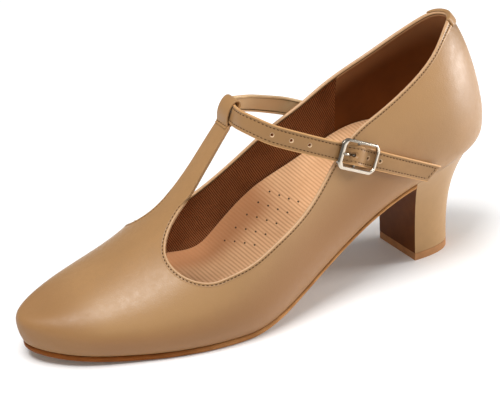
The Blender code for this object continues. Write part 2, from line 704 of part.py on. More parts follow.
def build():
    for obj in list(bpy.data.objects):
        bpy.data.objects.remove(obj)
    scene = bpy.context.scene.collection
    parts = bpy.data.collections.new("latin_dance_shoe")
    cutters = bpy.data.collections.new("cutters")
    scene.children.link(parts)
    scene.children.link(cutters)

    leather = material("tan_leather", TAN, 0.45)
    sole_leather = material("sole_leather", BROWN, 0.55)
    lift_rubber = material("lift_rubber", LIFT, 0.6)
    sock = material("ribbed_sock", SOCK, 0.85)
    metal = material("pale_gold_metal", GOLD, 0.25, 1.0)

    path = StrapPath()
    upper = new_object("upper", *upper_surface(), parts, leather)
    shell = upper.modifiers.new("wall", "SOLIDIFY")
    shell.thickness = WALL * MM
    shell.offset = -1.0
    shell.use_even_offset = True
    fold = new_object("tbar_fold", *fold_solid(path), cutters)
    boolean(upper, fold, "UNION")

    new_object("outsole", *outsole_solid(), parts, sole_leather)
    new_object("insole", *insole_solid(), parts, sock)
    new_object("heel", *heel_solid(), parts, leather)
    new_object("top_lift", *lift_solid(), parts, lift_rubber)

    strap = new_object("ankle_strap", *strap_solid(path), parts, leather)
    for k, at in enumerate(HOLES):
        boolean(strap, punch(f"hole_{k + 1}", path, (at,), 2.0, cutters), "DIFFERENCE")
    boolean(strap, punch("prong_slot", path, PRONG_SLOT, 2.6, cutters), "DIFFERENCE")

    half_l, half_w, cut = BUCKLE_L / 2 - BUCKLE_BAR_R, BUCKLE_W / 2 - BUCKLE_BAR_R, BUCKLE_CORNER
    bar_n = STRAP_T / 2 + BUCKLE_CLEAR + BUCKLE_BAR_R
    ring_rows = [(half_l, half_w - cut), (half_l - cut, half_w), (-half_l + cut, half_w),
                 (-half_l, half_w - cut), (-half_l, -half_w + cut), (-half_l + cut, -half_w),
                 (half_l - cut, -half_w), (half_l, -half_w + cut)]
    frame = tube("buckle_frame", on_buckle(path, [(a, b, bar_n) for a, b in ring_rows]),
                 BUCKLE_BAR_R, True, parts, metal)
    low_n = -0.1
    staple = [(0, half_w, bar_n), (0, half_w, low_n), (0, -half_w, low_n), (0, -half_w, bar_n)]
    boolean(frame, tube("centre_bar", on_buckle(path, staple), CENTRE_BAR_R, False, cutters), "UNION")

    hook = CENTRE_BAR_R + 0.2 + PRONG_R
    rest = bar_n + BUCKLE_BAR_R + 0.25 + PRONG_R
    prong = [(hook, 0, low_n - 0.2), (hook * 0.8, 0, low_n + hook * 0.6), (0, 0, low_n + hook),
             (-hook * 0.8, 0, low_n + hook * 0.6), (-3.2, 0, 0.35), (-5.6, 0, 2.3),
             (-6.9, 0, rest - 0.2), (-8.0, 0, rest), (-9.3, 0, rest)]
    tube("buckle_prong", on_buckle(path, prong), PRONG_R, False, parts, metal)

    for obj in cutters.objects:
        obj.hide_render = True
        obj.display_type = "WIRE"


build()
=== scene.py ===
"""Looks of a latin dance shoe: leather upper with a T-bar, ankle strap, buckle, covered heel and sole."""
import math

import bmesh
import bpy
import numpy as np
from mathutils import Matrix


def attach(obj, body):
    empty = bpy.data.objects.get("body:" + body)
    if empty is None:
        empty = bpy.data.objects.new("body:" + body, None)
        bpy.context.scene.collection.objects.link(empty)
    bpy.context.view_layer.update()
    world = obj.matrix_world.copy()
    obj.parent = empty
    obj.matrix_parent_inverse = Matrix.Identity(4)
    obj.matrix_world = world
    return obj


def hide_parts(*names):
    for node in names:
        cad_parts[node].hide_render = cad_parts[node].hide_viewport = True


bl_info = {
    "name": "Latin dance shoe",
    "version": (1, 0, 0),
    "blender": (4, 5, 0),
    "location": "View3D > Sidebar > Shoe",
    "description": "Builds the visible pieces of a latin dance shoe round its solid parts",
    "category": "Add Mesh",
}

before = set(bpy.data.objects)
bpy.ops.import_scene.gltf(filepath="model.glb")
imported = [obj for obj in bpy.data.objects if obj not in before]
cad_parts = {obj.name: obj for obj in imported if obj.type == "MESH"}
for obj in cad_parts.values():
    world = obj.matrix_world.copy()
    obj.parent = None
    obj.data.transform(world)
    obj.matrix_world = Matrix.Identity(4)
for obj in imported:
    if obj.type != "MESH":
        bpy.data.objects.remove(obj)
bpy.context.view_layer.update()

# Table millimetres: x from the toe end of the feather line to its heel end, y to the inner side, z up
MM = 0.001
ORIGIN = np.array([122.6, -1.6, 0.0])
LENGTH = 242.0
OUTER, INNER = "outer", "inner"

# Sole's under face
TOE_SPRING, X_SPRING, X_ARCH = 4.9, 62.7, 91.2
X_BREAST, Z_BREAST, SEAT_SLOPE, SEAT_CURVE = 193.3, 44.9, 0.242, 0.0044
SOLE_T_TREAD, SOLE_T_WAIST, SEAM_GAP = 3.1, 2.3, 0.3
FOOTBED_INSET = 2.1

# Insole: share, height over the feather line at the outer edge, the middle, the inner edge
FOOTBED = ((0.000, 6.2, 6.2, 6.2), (0.060, 6.4, 5.3, 6.8), (0.140, 6.7, 4.8, 9.6), (0.240, 7.0, 4.6, 15.6),
           (0.330, 7.2, 4.6, 20.0), (0.400, 7.2, 4.6, 23.4), (0.445, 7.2, 4.6, 24.0),
           (0.485, 7.2, 4.6, 20.4), (0.520, 7.2, 4.6, 14.6), (0.550, 7.2, 4.6, 10.0),
           (0.580, 7.2, 4.6, 9.2), (0.620, 7.2, 4.6, 10.6), (0.700, 6.8, 4.6, 9.0),
           (0.880, 5.4, 4.4, 5.8), (1.000, 4.2, 4.2, 4.2))
FOOTBED_EASE = 1.2  # how much the climb to an edge slows down at that edge
RIM_DROP, RIM_FROM, RIM_POWER = 1.5, 0.955, 2.5  # rounded rim of the insole

# Feather line: x, inner side y, outer side -y
TOE_Y, HEEL_Y = 3.2, 0.1
OUTLINE = ((10.0, 18.0, 14.4), (36.0, 31.5, 28.8), (72.0, 37.0, 39.8), (98.0, 36.9, 40.3),
           (130.0, 26.9, 32.8), (165.0, 22.5, 28.5), (205.0, 25.0, 27.1), (230.0, 16.6, 17.7))

# Ridge of the last, and its sections: x, bulge, bulge height, fullness across, fullness up
RIDGE_FRONT, RIDGE_BACK, RIDGE_END, RIDGE_EASE = 20.0, 226.5, 213.0, 7.0
RIDGE_Z = ((20.0, 27.9), (40.0, 35.4), (62.0, 45.4), (85.0, 65.2), (112.0, 98.3), (160.0, 116.9),
           (224.0, 127.6))
RIDGE_Y = ((20.0, 4.7), (62.0, 3.3), (112.0, -0.4), (224.0, -0.2))
BULGE_RISE = 0.2
COUNTER_FULL, COUNTER_X = 2.6, (205.0, 236.0)  # fuller low curve round the heel, and where it sets in
CREST_RISE, CREST_SHARE = (0.80, 0.96), (0.92, 0.975)  # where normals turn to the ridge's own
SECTION = ((0.0, 2.3, 9.7, 2.30, 2.10), (70.0, 2.6, 9.7, 2.06, 1.97), (130.0, 5.0, 17.2, 1.99, 2.02),
           (200.0, 4.6, 16.0, 1.74, 1.75), (242.0, 5.4, 15.0, 2.31, 1.33))
# Outer side over the ball of the foot: x where it is softest and where that ends, and how much is taken off
SOFT_FROM, SOFT_TO, SOFT_END = 28.0, 70.0, 125.0
SOFT_HEIGHT, SOFT_ACROSS, SOFT_UP = 1.5, 0.20, 0.40

# Topline: share of the way from heel to toe, rise on the outer side, on the inner side
TOPLINE = ((-0.05, 0.758, 0.760), (0.00, 0.766, 0.766), (0.05, 0.760, 0.758), (0.10, 0.716, 0.693),
           (0.15, 0.638, 0.619), (0.21, 0.559, 0.546), (0.30, 0.486, 0.481), (0.35, 0.463, 0.443),
           (0.40, 0.414, 0.420), (0.44, 0.367, 0.397), (0.48, 0.347, 0.373), (0.54, 0.363, 0.351),
           (0.60, 0.397, 0.357), (0.66, 0.450, 0.388), (0.73, 0.481, 0.405))
THROAT_SHARE, THROAT_RISE, THROAT_LOW, THROAT_TOP, THROAT_POWER = 0.729, 0.745, 0.645, 0.686, 0.62
TBAR_SHARE, FOLD_SHARE = 0.572, (0.655, 0.69)  # T-bar's top end; where the topline's fold dies out
TBAR_HALF = ((78.0, 8.4), (92.0, 6.3), (105.0, 5.5))  # x, half its width
SHELL_MERGE = 0.12  # joins the border points of the upper's grids

# Lining: gap to the leather, end of the smooth lining round the heel and its step, drop below the topline
LINING_GAP, HEEL_LINING_SHARE, HEEL_LINING_STEP, LINING_DROP = 0.05, 0.272, 0.35, 0.9

# Heel
HEEL_FRONT_X, HEEL_DEPTH, HEEL_HALF_W, HEEL_ROUND, HEEL_FLARE, LIFT_T = 199.6, 26.0, 16.0, 2.5, 3.0, 4.0

# Ankle strap: x, y, z, lean of its outer face (None: as the quarter on which it lies)
STRAP_W, STRAP_T, STRAP_STAND, STRAP_CUT = 9.3, 1.4, 0.5, 3.6
STRAP_ARCH, STRAP_ARCH_HALF = 3.0, 8.8
STRAP = ((178.0, None, 69.0, None), (168.0, None, 73.2, None), (156.5, 28.0, 78.0, 8.0),
         (144.0, 24.8, 83.2, 18.0), (131.5, 19.5, 88.3, 25.0), (122.2, 14.2, 92.0, 28.0),
         (110.5, 6.4, 95.5, 28.5), (108.7, -0.5, 96.1, 24.0), (107.6, -8.0, 95.7, 15.5),
         (107.9, -16.0, 95.5, 12.5), (111.1, -21.6, 93.7, 11.0), (115.0, -25.2, 91.4, 12.0),
         (123.2, -29.0, 87.6, 10.0), (136.7, -32.3, 81.8, 6.0), (144.9, -33.3, 78.2, 4.0),
         (156.1, None, 73.2, None), (170.0, None, 66.8, None), (185.0, None, 59.9, None),
         (200.9, -32.9, 52.4, -14.0))
FOLD_ROW, BUCKLE_ROW = 7, 15
LEAN_REACH = 4.0  # above and below the strap, where its lean is read off
STRAP_FINE, STRAP_SEAM = 14.0, 1.55  # reach of finer rows about the buckle; edge to furrow
CUT_REACH, END_ROUND, END_THIN = 12.0, 0.5, 0.35  # slanting cut, rounding and thinning of the ends
STITCH_START, STITCH_STOP, CROSS_INSET, FOLD_CLEAR = 2.0, 2.2, 1.2, 5.0  # rows of stitches on it
HOLES = (-44.1, -34.9, -25.8, 6.9, 13.9)  # along the strap from the buckle's centre bar
PRONG_SLOT = (-6.2, -3.0)
HOLE_D = 1.9
PUNCH = ((-2.5, 0.74), (0.22, 0.74), (0.62, 1.15), (2.5, 2.4))  # out of the strap, share of HOLE_D

# T-bar's fold round the strap, in the strap's directions there: along, across, out
FOLD_ROUTE = ((0.14, -9.68, 1.07), (0.12, -8.2, 0.62), (0.08, -6.9, -0.12), (0.0, -5.7, -0.98),
              (0.0, -4.2, -1.55), (0.0, -1.8, -1.75), (0.0, 0.7, -1.78), (0.0, 3.2, -1.75),
              (0.0, 5.0, -1.45), (0.0, 5.95, -0.50), (0.0, 5.80, 0.60), (0.0, 4.85, 1.45),
              (0.0, 2.9, 2.15), (0.0, -0.4, 2.42), (0.0, -3.45, 1.90), (0.0, -5.4, 1.22),
              (0.0, -6.7, 1.00), (0.0, -8.0, 1.42))
TBAR_ACROSS = np.array([0.990, 0.050, -0.125])  # direction of the T-bar's width
FOLD_HALF_W, FOLD_T, FOLD_EDGE_R = 5.05, 0.96, 0.40
FOLD_STITCH_BACK, FOLD_STITCH_HALF = 1.3, 4.0  # its row of stitches: from the free end, half as wide

# Turned edge across the opening and out of the surface, from its stitched lip over the rim to the lining.
# The lip is its first points. On the T-bar the edge is plain.
TURNED_EDGE = ((-2.35, -0.12), (-2.05, 0.06), (-1.80, 0.13), (-1.52, 0.06), (-1.25, -0.14), (-0.98, 0.04),
               (-0.55, 0.20), (-0.12, 0.12), (0.10, -0.10), (0.20, -0.38), (0.22, -0.66), (0.18, -0.95),
               (0.08, -1.22), (-0.15, -1.48), (-0.55, -1.72), (-0.85, -1.80), (-1.0, -1.74), (-1.1, -1.5),
               (-1.15, -0.9), (-1.6, -0.4))
PLAIN_EDGE = ((-0.30, -0.10), (-0.26, -0.04), (-0.22, 0.0), (-0.18, 0.02), (-0.14, 0.03), (-0.08, 0.03),
              (0.0, 0.02), (0.08, -0.06), (0.14, -0.25), (0.16, -0.5), (0.17, -0.8), (0.17, -1.05),
              (0.15, -1.35), (0.10, -1.6), (0.0, -1.72), (-0.10, -1.74), (-0.2, -1.72), (-0.28, -1.6),
              (-0.3, -0.9), (-0.3, -0.4))
LIP_POINTS, LIP_FROM = 6, -0.4
LIP_SPREAD, LIP_SPREAD_X = 0.9, (212.0, 233.0)  # the lip widens round the heel

# Patch on the back of the collar: half width in shares, thickness, how its end and its rim thin, its roll
TAB_SHARE, TAB_T, TAB_STAND, TAB_WALL = 0.062, 0.60, 0.06, 0.5
TAB_TAPER, TAB_TAPER_POWER, TAB_OUTER_END, TAB_INNER_END, TAB_RIM = 0.35, 2.5, 14, 3, 10
TAB_ROLL = ((0.02, -0.42), (0.26, -0.30), (0.36, 0.02), (0.28, 0.38))  # up, out

# Stitches: length, width, height; depth of the topline's below the surface, heights of the strap's
TOPLINE_STITCH, STRAP_STITCH, CROSS_STITCH = (1.25, 0.50, 0.36), (1.2, 0.42, 0.36), (1.5, 0.42, 0.36)
STITCH_SINK, STRAP_STITCH_Z, CROSS_STITCH_Z = 0.04, 0.46, 0.60

# Buckle: frame, its bar's section (outwards and up), its front bar and upper rail, centre bar, prong
BUCKLE_L, BUCKLE_W, BUCKLE_CORNER, BUCKLE_BAR_R, BUCKLE_CLEAR = 22.2, 14.6, 1.9, 0.9, 0.5
BAR_SECTION = ((0.9, -0.75), (0.9, 0.28), (0.80, 0.42), (0.20, 0.88), (0.02, 0.92), (-0.50, 0.92),
               (-0.66, 0.86), (-0.9, 0.50), (-0.9, -0.75), (-0.75, -0.90), (0.75, -0.90))
BAR_TOP, FRONT_WIDER, RAIL_SLIMMER, STAPLE_R, STAPLE_Z = 0.92, 0.75, 0.45, 0.7, -0.1
PRONG_HALF_W, PRONG_HALF_T, PRONG_HOOK, PRONG_TIP = 0.62, 0.42, 1.35, 0.6

# Sole's edge, from its upper face to its under face: inset, depth below the upper face on the tread
SOLE_EDGE = ((1.4, 0.0), (0.25, 0.0), (0.0, 0.30), (0.22, 0.55), (0.0, 0.85), (0.0, 1.7), (0.10, 2.3),
             (0.45, 2.75), (1.1, 3.1))
SOCK_T = 1.5
SEAT_LAP, LIFT_GAP = 0.25, 0.2  # heel's top over the feather line; between lift and heel

# Perforations of the sock: columns and places, share and place across of the first, steps of both
PUNCHED = (4, 5)
PUNCHED_AT, PUNCHED_COLUMN, PUNCHED_ALONG = (0.425, 0.77), (-0.012, -0.118), (0.024, -0.02)
PUNCHED_D, PUNCHED_T, PUNCHED_Z = 0.95, 0.12, 0.03

# Studio: lamps as name, place and width in metres, power
LAMPS = (("key", (-0.37, -0.20, 1.20), 0.65, 16.0), ("side", (1.12, -0.26, 0.26), 0.45, 11.5))
LAMP_AIM = np.array([0.0, 0.0, 0.05])
WORLD_STRENGTH, FLOOR_HALF, FLOOR_WHITE = 0.26, 6.0, (0.93, 0.93, 0.93, 1.0)
# The floor glows as painted light: faintly near the shoe and more far from it, filling shadows and the
# lamps' falloff
FLOOR_AWAY_X, FLOOR_AWAY_Y, FLOOR_GLOW = (104.0, 142.0), (100.0, 300.0), (0.05, 0.24)  # paler far away

# Camera: turn about the shoe, height angle, roll, distance, focal length and shift in pixels of its frame
VIEW_WIDTH, SENSOR = 500.0, 36.0
VIEW_TURN, VIEW_HEIGHT, VIEW_ROLL = math.radians(-27.7445), math.radians(24.3628), math.radians(-3.1326)
VIEW_DISTANCE, VIEW_FOCAL, VIEW_SHIFT = 756.65, 1600.0, (5.3211, -2.6751)
VIEW_TARGET = np.array([120.0, 0.0, 45.0])


def natural(rows):
    """Natural cubic through rows of (knot, value), straight past both ends, as a function."""
    t, y = np.array(rows, float).T
    h = np.diff(t)
    n = len(t)
    a, r = np.eye(n), np.zeros(n)
    for i in range(1, n - 1):
        a[i, i - 1:i + 2] = h[i - 1], 2 * (h[i - 1] + h[i]), h[i]
        r[i] = 6 * ((y[i + 1] - y[i]) / h[i] - (y[i] - y[i - 1]) / h[i - 1])
    m = np.linalg.solve(a, r)

    def value(x):
        x = np.asarray(x, float)
        i = np.clip(np.searchsorted(t, x, side="right") - 1, 0, n - 2)
        p, q, hi = t[i + 1] - x, x - t[i], h[i]
        inside = ((m[i] * p**3 + m[i + 1] * q**3) / (6 * hi)
                  + (y[i] / hi - m[i] * hi / 6) * p + (y[i + 1] / hi - m[i + 1] * hi / 6) * q)
        low = y[0] + (x - t[0]) * ((y[1] - y[0]) / h[0] - h[0] * m[1] / 6)
        high = y[-1] + (x - t[-1]) * ((y[-1] - y[-2]) / h[-1] + h[-1] * m[-2] / 6)
        return np.where(x < t[0], low, np.where(x > t[-1], high, inside))
    return value


def naturals(rows):
    """A natural cubic for each column after the first, which holds the knots."""
    table = np.array(rows, float)
    return [natural(table[:, (0, i)]) for i in range(1, table.shape[1])]


def ring(points):
    """Closed cubic through plan points, as a function of chord length, and its knots."""
    p = np.array(points, float)
    n = len(p)
    h = np.linalg.norm(np.roll(p, -1, 0) - p, axis=1)
    a, r = np.zeros((n, n)), np.zeros((n, 2))
    for i in range(n):
        before, after = h[i - 1], h[i]
        a[i, i - 1] += before
        a[i, i] += 2 * (before + after)
        a[i, (i + 1) % n] += after
        r[i] = 6 * ((p[(i + 1) % n] - p[i]) / after - (p[i] - p[i - 1]) / before)
    m = np.linalg.solve(a, r)
    knots = np.concatenate([[0.0], np.cumsum(h)])

    def value(t):
        t = np.mod(np.asarray(t, float), knots[-1])
        i = np.clip(np.searchsorted(knots, t, side="right") - 1, 0, n - 1)
        j, hi = (i + 1) % n, h[i][:, None]
        b, c = (knots[i + 1] - t)[:, None], (t - knots[i])[:, None]
        return ((m[i] * b**3 + m[j] * c**3) / (6 * hi)
                + (p[i] / hi - m[i] * hi / 6) * b + (p[j] / hi - m[j] * hi / 6) * c)
    return value, knots


FEATHER, KNOTS = ring([(LENGTH, HEEL_Y)] + [(x, -o) for x, _, o in OUTLINE[::-1]]
                      + [(0.0, TOE_Y)] + [(x, i) for x, i, _ in OUTLINE])
TOE_KNOT = KNOTS[len(OUTLINE) + 1]
ridge_z, ridge_y = natural(RIDGE_Z), natural(RIDGE_Y)
bulge, bulge_z, full_across, full_up = naturals(SECTION)
topline = dict(zip((OUTER, INNER), naturals(TOPLINE)))


def unit(v):
    return v / np.maximum(np.linalg.norm(v, axis=-1, keepdims=True), 1e-12)


def smoothstep(low, high, x):
    t = np.clip((np.asarray(x, float) - low) / (high - low), 0, 1)
    return t * t * (3 - 2 * t)


def lengths(points):
    """Length along a row of points, from 0 at the first."""
    return np.concatenate([[0.0], np.cumsum(np.linalg.norm(np.diff(points, axis=0), axis=1))])


def curve(rows, count):
    """Evenly spaced points of a smooth curve through rows of points, and their lengths along it."""
    knots = lengths(rows)
    s = np.linspace(0, knots[-1], count)
    return np.stack([f(s) for f in naturals(np.column_stack([knots, rows]))], 1), s


def resample(at, length, rows):
    """Rows of values that belong to lengths, read off at other lengths."""
    return np.stack([np.interp(at, length, column) for column in rows.T], 1)


def eased(start, bend, end, even, close):
    """Shares from start to end: evenly spaced as far as bend, then closer and closer together."""
    return np.concatenate([np.linspace(start, bend, even)[:-1],
                           bend + (end - bend) * np.sin(np.linspace(0, math.pi / 2, close))])


def ridge_slope(x):
    return ridge_z(x + 0.5) - ridge_z(x - 0.5)


def edge(share, side):
    """Plan points of the feather line at shares of the way from heel (0) to toe (1)."""
    share = np.atleast_1d(np.asarray(share, float))
    if side == OUTER:
        return FEATHER(share * TOE_KNOT)
    return FEATHER(KNOTS[-1] + share * (TOE_KNOT - KNOTS[-1]))


def inset_edge(share, side, inset):
    """Feather line moved inwards in plan."""
    step = 0.002
    d = edge(share + step, side) - edge(share - step, side)
    normal = unit(np.stack([d[:, 1], -d[:, 0]], 1) * (-1 if side == OUTER else 1))
    return edge(share, side) - np.asarray(inset, float).reshape(-1, 1) * normal


def under_face(x):
    """Height of the sole's under face: toe spring, flat tread, cubic arch, bowed seat."""
    x = np.asarray(x, float)
    z = TOE_SPRING * np.clip((X_SPRING - x) / X_SPRING, 0, None) ** 2
    run = X_BREAST - X_ARCH
    t = np.clip((x - X_ARCH) / run, 0, 1)
    z = z + Z_BREAST * (3 * t**2 - 2 * t**3) + SEAT_SLOPE * run * (t**3 - t**2)
    back = np.clip(x - X_BREAST, 0, None)
    return z + SEAT_SLOPE * back - 0.5 * SEAT_CURVE * back**2


def sole_top(x):
    """Height of the sole's upper face, and of the heel's seat."""
    t = np.clip((np.asarray(x, float) - X_ARCH) / (X_BREAST - X_ARCH), 0, 1)
    return under_face(x) + SOLE_T_TREAD + (SOLE_T_WAIST - SOLE_T_TREAD) * t


def feather_z(x):
    return sole_top(x) + SEAM_GAP


def section_base(share, side):
    """Feather point and ridge point of the sections at these shares."""
    middle = 0.5 * (edge(share, OUTER)[:, 0] + edge(share, INNER)[:, 0])
    x = RIDGE_FRONT + middle * (RIDGE_BACK - RIDGE_FRONT) / LENGTH
    x = RIDGE_END - RIDGE_EASE * np.log1p(np.exp((RIDGE_END - x) / RIDGE_EASE))
    return edge(share, side), np.stack([x, ridge_y(x)], 1)


def section_shape(x, side):
    """Bulge, bulge height and both fullnesses of the sections at x, softer on the ball's outer side."""
    out, high, across, up = (f(x) for f in (bulge, bulge_z, full_across, full_up))
    if side == OUTER:
        soft = smoothstep(0, SOFT_FROM, x) * (1 - smoothstep(SOFT_TO, SOFT_END, x))
        high, across, up = high - SOFT_HEIGHT * soft, across - SOFT_ACROSS * soft, up - SOFT_UP * soft
    return out, high, across, up


def last_surface(share, side, rise):
    """Outside of the upper: for each share a row of points at rises 0 (feather line) to 1 (ridge).

    Below the widest point a parabola leans out from the feather line, steeper round the heel.
    Above it a superellipse closes on the ridge, and near the ridge the section takes on the
    ridge's slope.
    """
    foot, top = section_base(share, side)
    rise = np.asarray(rise, float)
    x = foot[:, 0]
    reach = np.linalg.norm(foot - top, axis=1)[:, None]
    out, high, across, up = (v[:, None] for v in section_shape(x, side))
    low_z, top_z = feather_z(x)[:, None], ridge_z(top[:, 0])[:, None]
    s = np.clip(rise / BULGE_RISE, 0, 1)
    turn = np.clip((rise - BULGE_RISE) / (1 - BULGE_RISE), 0, 1) * math.pi / 2
    lower = rise < BULGE_RISE
    power = 2 + COUNTER_FULL * smoothstep(*COUNTER_X, x)[:, None]
    scale = np.where(lower, 1 + out / reach * (1 - (1 - s) ** power),
                     (1 + out / reach) * np.clip(np.cos(turn), 0, 1) ** (2 / across))
    z = np.where(lower, low_z + high * s,
                 low_z + high + (top_z - low_z - high) * np.sin(turn) ** (2 / up))
    plan = top[:, None, :] + (foot - top)[:, None, :] * scale[..., None]
    slope = ridge_slope(top[:, 0])[:, None]
    z = z + np.where(lower, 0, np.sin(turn) ** 3) * slope * (plan[..., 0] - top[:, None, 0])
    return np.concatenate([plan, z[..., None]], -1)


def on_last(share, side, rise):
    """Points and outward normals at arrays of shares and rises of one shape.

    The normal is the cross product of the surface's slopes along share and along rise. Round the
    ridge's front end, where these run the same way, it turns to the ridge's own normal.
    """
    share, rise = np.broadcast_arrays(np.asarray(share, float), np.asarray(rise, float))
    s, r = share.ravel(), rise.ravel()[:, None]
    step = 0.002
    point = last_surface(s, side, r)[:, 0]
    along = (last_surface(s + step, side, r) - last_surface(s - step, side, r))[:, 0]
    up = (last_surface(s, side, r + step) - last_surface(s, side, np.maximum(r - step, 0)))[:, 0]
    normal = unit(np.cross(along, up) * (-1 if side == OUTER else 1))
    x = section_base(s, side)[1][:, 0]
    crest = unit(np.stack([-ridge_slope(x), 0 * x, 0 * x + 1], 1))
    near = (smoothstep(*CREST_RISE, r[:, 0]) * smoothstep(*CREST_SHARE, s))[:, None]
    normal = unit(normal * (1 - near) + crest * near)
    return point.reshape(share.shape + (3,)), normal.reshape(share.shape + (3,))


def rise_length(share, side, rise):
    """Millimetres along the last for each unit of rise."""
    step = 0.01
    below, here = (last_surface(share, side, r[:, None])[:, 0] for r in (rise - step, rise))
    return np.linalg.norm(below - here, axis=1) / step


def strip_rise(share, side, half):
    """Rise at which a section is the given half width away from the ridge."""
    foot, top = section_base(share, side)
    out, _, across, _ = section_shape(foot[:, 0], side)
    reach = np.linalg.norm(foot - top, axis=1) + out
    turn = np.arccos(np.clip(half / reach, 0, 1) ** (across / 2))
    return BULGE_RISE + (1 - BULGE_RISE) * turn / (math.pi / 2)


def wall_top(share, side):
    """Rise of the topline, rounded up to the front end of the throat."""
    t = np.clip((share - THROAT_LOW) / (THROAT_SHARE - THROAT_LOW), 0, 1)
    low = topline[side](np.minimum(share, THROAT_SHARE))
    return np.where(share >= THROAT_SHARE, THROAT_RISE,
                    low + (THROAT_RISE - low) * (1 - (1 - t**2) ** THROAT_POWER))


def tbar_edge(share, side):
    """Rise of the T-bar's edge, rounded out to the front end of the throat."""
    t = np.clip((share - THROAT_TOP) / (THROAT_SHARE - THROAT_TOP), 0, 1)
    x = section_base(share, side)[1][:, 0]
    strip = strip_rise(share, side, np.interp(x, *np.array(TBAR_HALF).T))
    return np.where(share >= THROAT_SHARE, THROAT_RISE,
                    THROAT_RISE + (strip - THROAT_RISE) * np.sqrt(1 - t**2))


def plan_at(share, side, rise, level):
    """Plan points at which the sections at these shares pass a level, looked for among these rises."""
    grid = last_surface(share, side, np.broadcast_to(rise, (len(share), len(rise))))
    return np.array([[np.interp(z, row[:, 2], row[:, k]) for k in (0, 1)]
                     for z, row in zip(np.broadcast_to(level, len(share)), grid)])


def wall_y(side, x, z):
    """The y of the upper's outside at a point of the quarter."""
    plan = plan_at(np.linspace(0.1, 0.55, 91), side, np.linspace(0.02, 0.6, 117), z)
    return float(np.interp(x, plan[::-1, 0], plan[::-1, 1]))


def wall_inside(share, side, height):
    """Plan points of the insole's upper edge, at heights over the feather line."""
    foot, top = section_base(share, side)
    plan = plan_at(share, side, np.linspace(0, 0.6, 121), feather_z(foot[:, 0]) + height)
    return plan + FOOTBED_INSET * unit(top - foot)


def footbed(share, t):
    """Upper face of the insole: for each share a row of points, t from -1 (outer wall) to 1 (inner wall).

    Both edges climb the inside of the upper, the inner one most, under the arch of the foot. The
    height between goes as t squared, eased at the edge, and the rim itself is rounded down.
    """
    outer, middle, inner = (f(share) for f in naturals(FOOTBED))
    left, right = wall_inside(share, OUTER, outer), wall_inside(share, INNER, inner)
    plan = left[:, None] + (right - left)[:, None] * ((t + 1) / 2)[None, :, None]
    climb = np.where(t < 0, (outer - middle)[:, None], (inner - middle)[:, None])
    z = feather_z(plan[..., 0]) + middle[:, None] + climb * t**2 * (1 + FOOTBED_EASE * (1 - abs(t)))
    z = z - RIM_DROP * np.clip((abs(t) - RIM_FROM) / (1 - RIM_FROM), 0, 1) ** RIM_POWER
    return np.concatenate([plan, z[..., None]], -1)


class StrapPath:
    """Middle line of the strap with its directions: along, across (up) and out."""

    def __init__(self):
        rows = []
        for x, y, z, lean in STRAP:
            if y is None:
                side, out = (INNER, 1) if len(rows) < FOLD_ROW else (OUTER, -1)
                below, y, above = (wall_y(side, x, z + d) * out for d in (-LEAN_REACH, 0.0, LEAN_REACH))
                lean = math.degrees(math.atan((below - above) / (2 * LEAN_REACH)))
                y = out * (max(y, (below + above) / 2) + STRAP_STAND + STRAP_T / 2)
            rows.append((x, y, z, lean))
        rows = np.array(rows)
        knots = lengths(rows[:, :3])
        self.curves = naturals(np.column_stack([knots, rows]))
        self.fold, self.buckle, self.length = knots[[FOLD_ROW, BUCKLE_ROW, -1]]

    def middle(self, s):
        return np.stack([self.curves[i](s) for i in range(3)], -1)

    def frame(self, s):
        """Along, across and out at path lengths s."""
        along = unit(self.middle(s + 0.1) - self.middle(s - 0.1))
        lean = np.radians(self.curves[3](s))[..., None]
        flat = unit(np.stack([along[..., 1], -along[..., 0], 0 * along[..., 0]], -1))
        out = flat * np.cos(lean) + np.array([0, 0, 1.0]) * np.sin(lean)
        out = unit(out - along * np.sum(along * out, -1, keepdims=True))
        return along, np.cross(out, along), out

    def arch(self, s):
        """Rise of the strap over the buckle's centre bar."""
        d = np.clip(np.abs(s - self.buckle) / STRAP_ARCH_HALF, 0, 1)
        return STRAP_ARCH * np.cos(d * math.pi / 2) ** 2

    def point(self, s, across, out):
        """Points at path lengths s, moved across and out of the middle line."""
        s, across, out = np.broadcast_arrays(*(np.asarray(v, float) for v in (s, across, out)))
        _, u, n = self.frame(s)
        return self.middle(s) + u * across[..., None] + n * (out + self.arch(s))[..., None]


STRAP_PATH = StrapPath()


def topline_path(step=0.5):
    """Edge of the openings as evenly spaced points, from the T-bar's outer edge round the heel to its inner.

    Returns points, directions along, out of the surface and across to the open side, how much of
    the fold each point has (1 on the topline, 0 on the T-bar), and lengths along.
    """
    bar = eased(TBAR_SHARE, 0.7, THROAT_SHARE, 60, 40)
    wall = eased(0, THROAT_LOW, THROAT_SHARE, 260, 70)
    point, normal, fold = [], [], []
    for side, on_bar, way in ((OUTER, True, 1), (OUTER, False, -1), (INNER, False, 1), (INNER, True, -1)):
        share = (bar if on_bar else wall)[::way]
        p, n = on_last(share, side, (tbar_edge if on_bar else wall_top)(share, side))
        keep = slice(1 if point else 0, None)
        point.append(p[keep])
        normal.append(n[keep])
        fold.append((smoothstep(*FOLD_SHARE, share) if on_bar else np.ones(len(share)))[keep])
    point, normal, fold = (np.concatenate(v) for v in (point, normal, fold))
    length = lengths(point)
    at = np.linspace(0, length[-1], int(length[-1] / step))
    point, normal = (resample(at, length, v) for v in (point, normal))
    along = unit(np.gradient(point, axis=0))
    normal = unit(normal - along * np.sum(normal * along, 1, keepdims=True))
    return point, along, normal, np.cross(normal, along), np.interp(at, length, fold), at


# Meshes


def metres(points):
    return (np.asarray(points, float) - ORIGIN) * MM


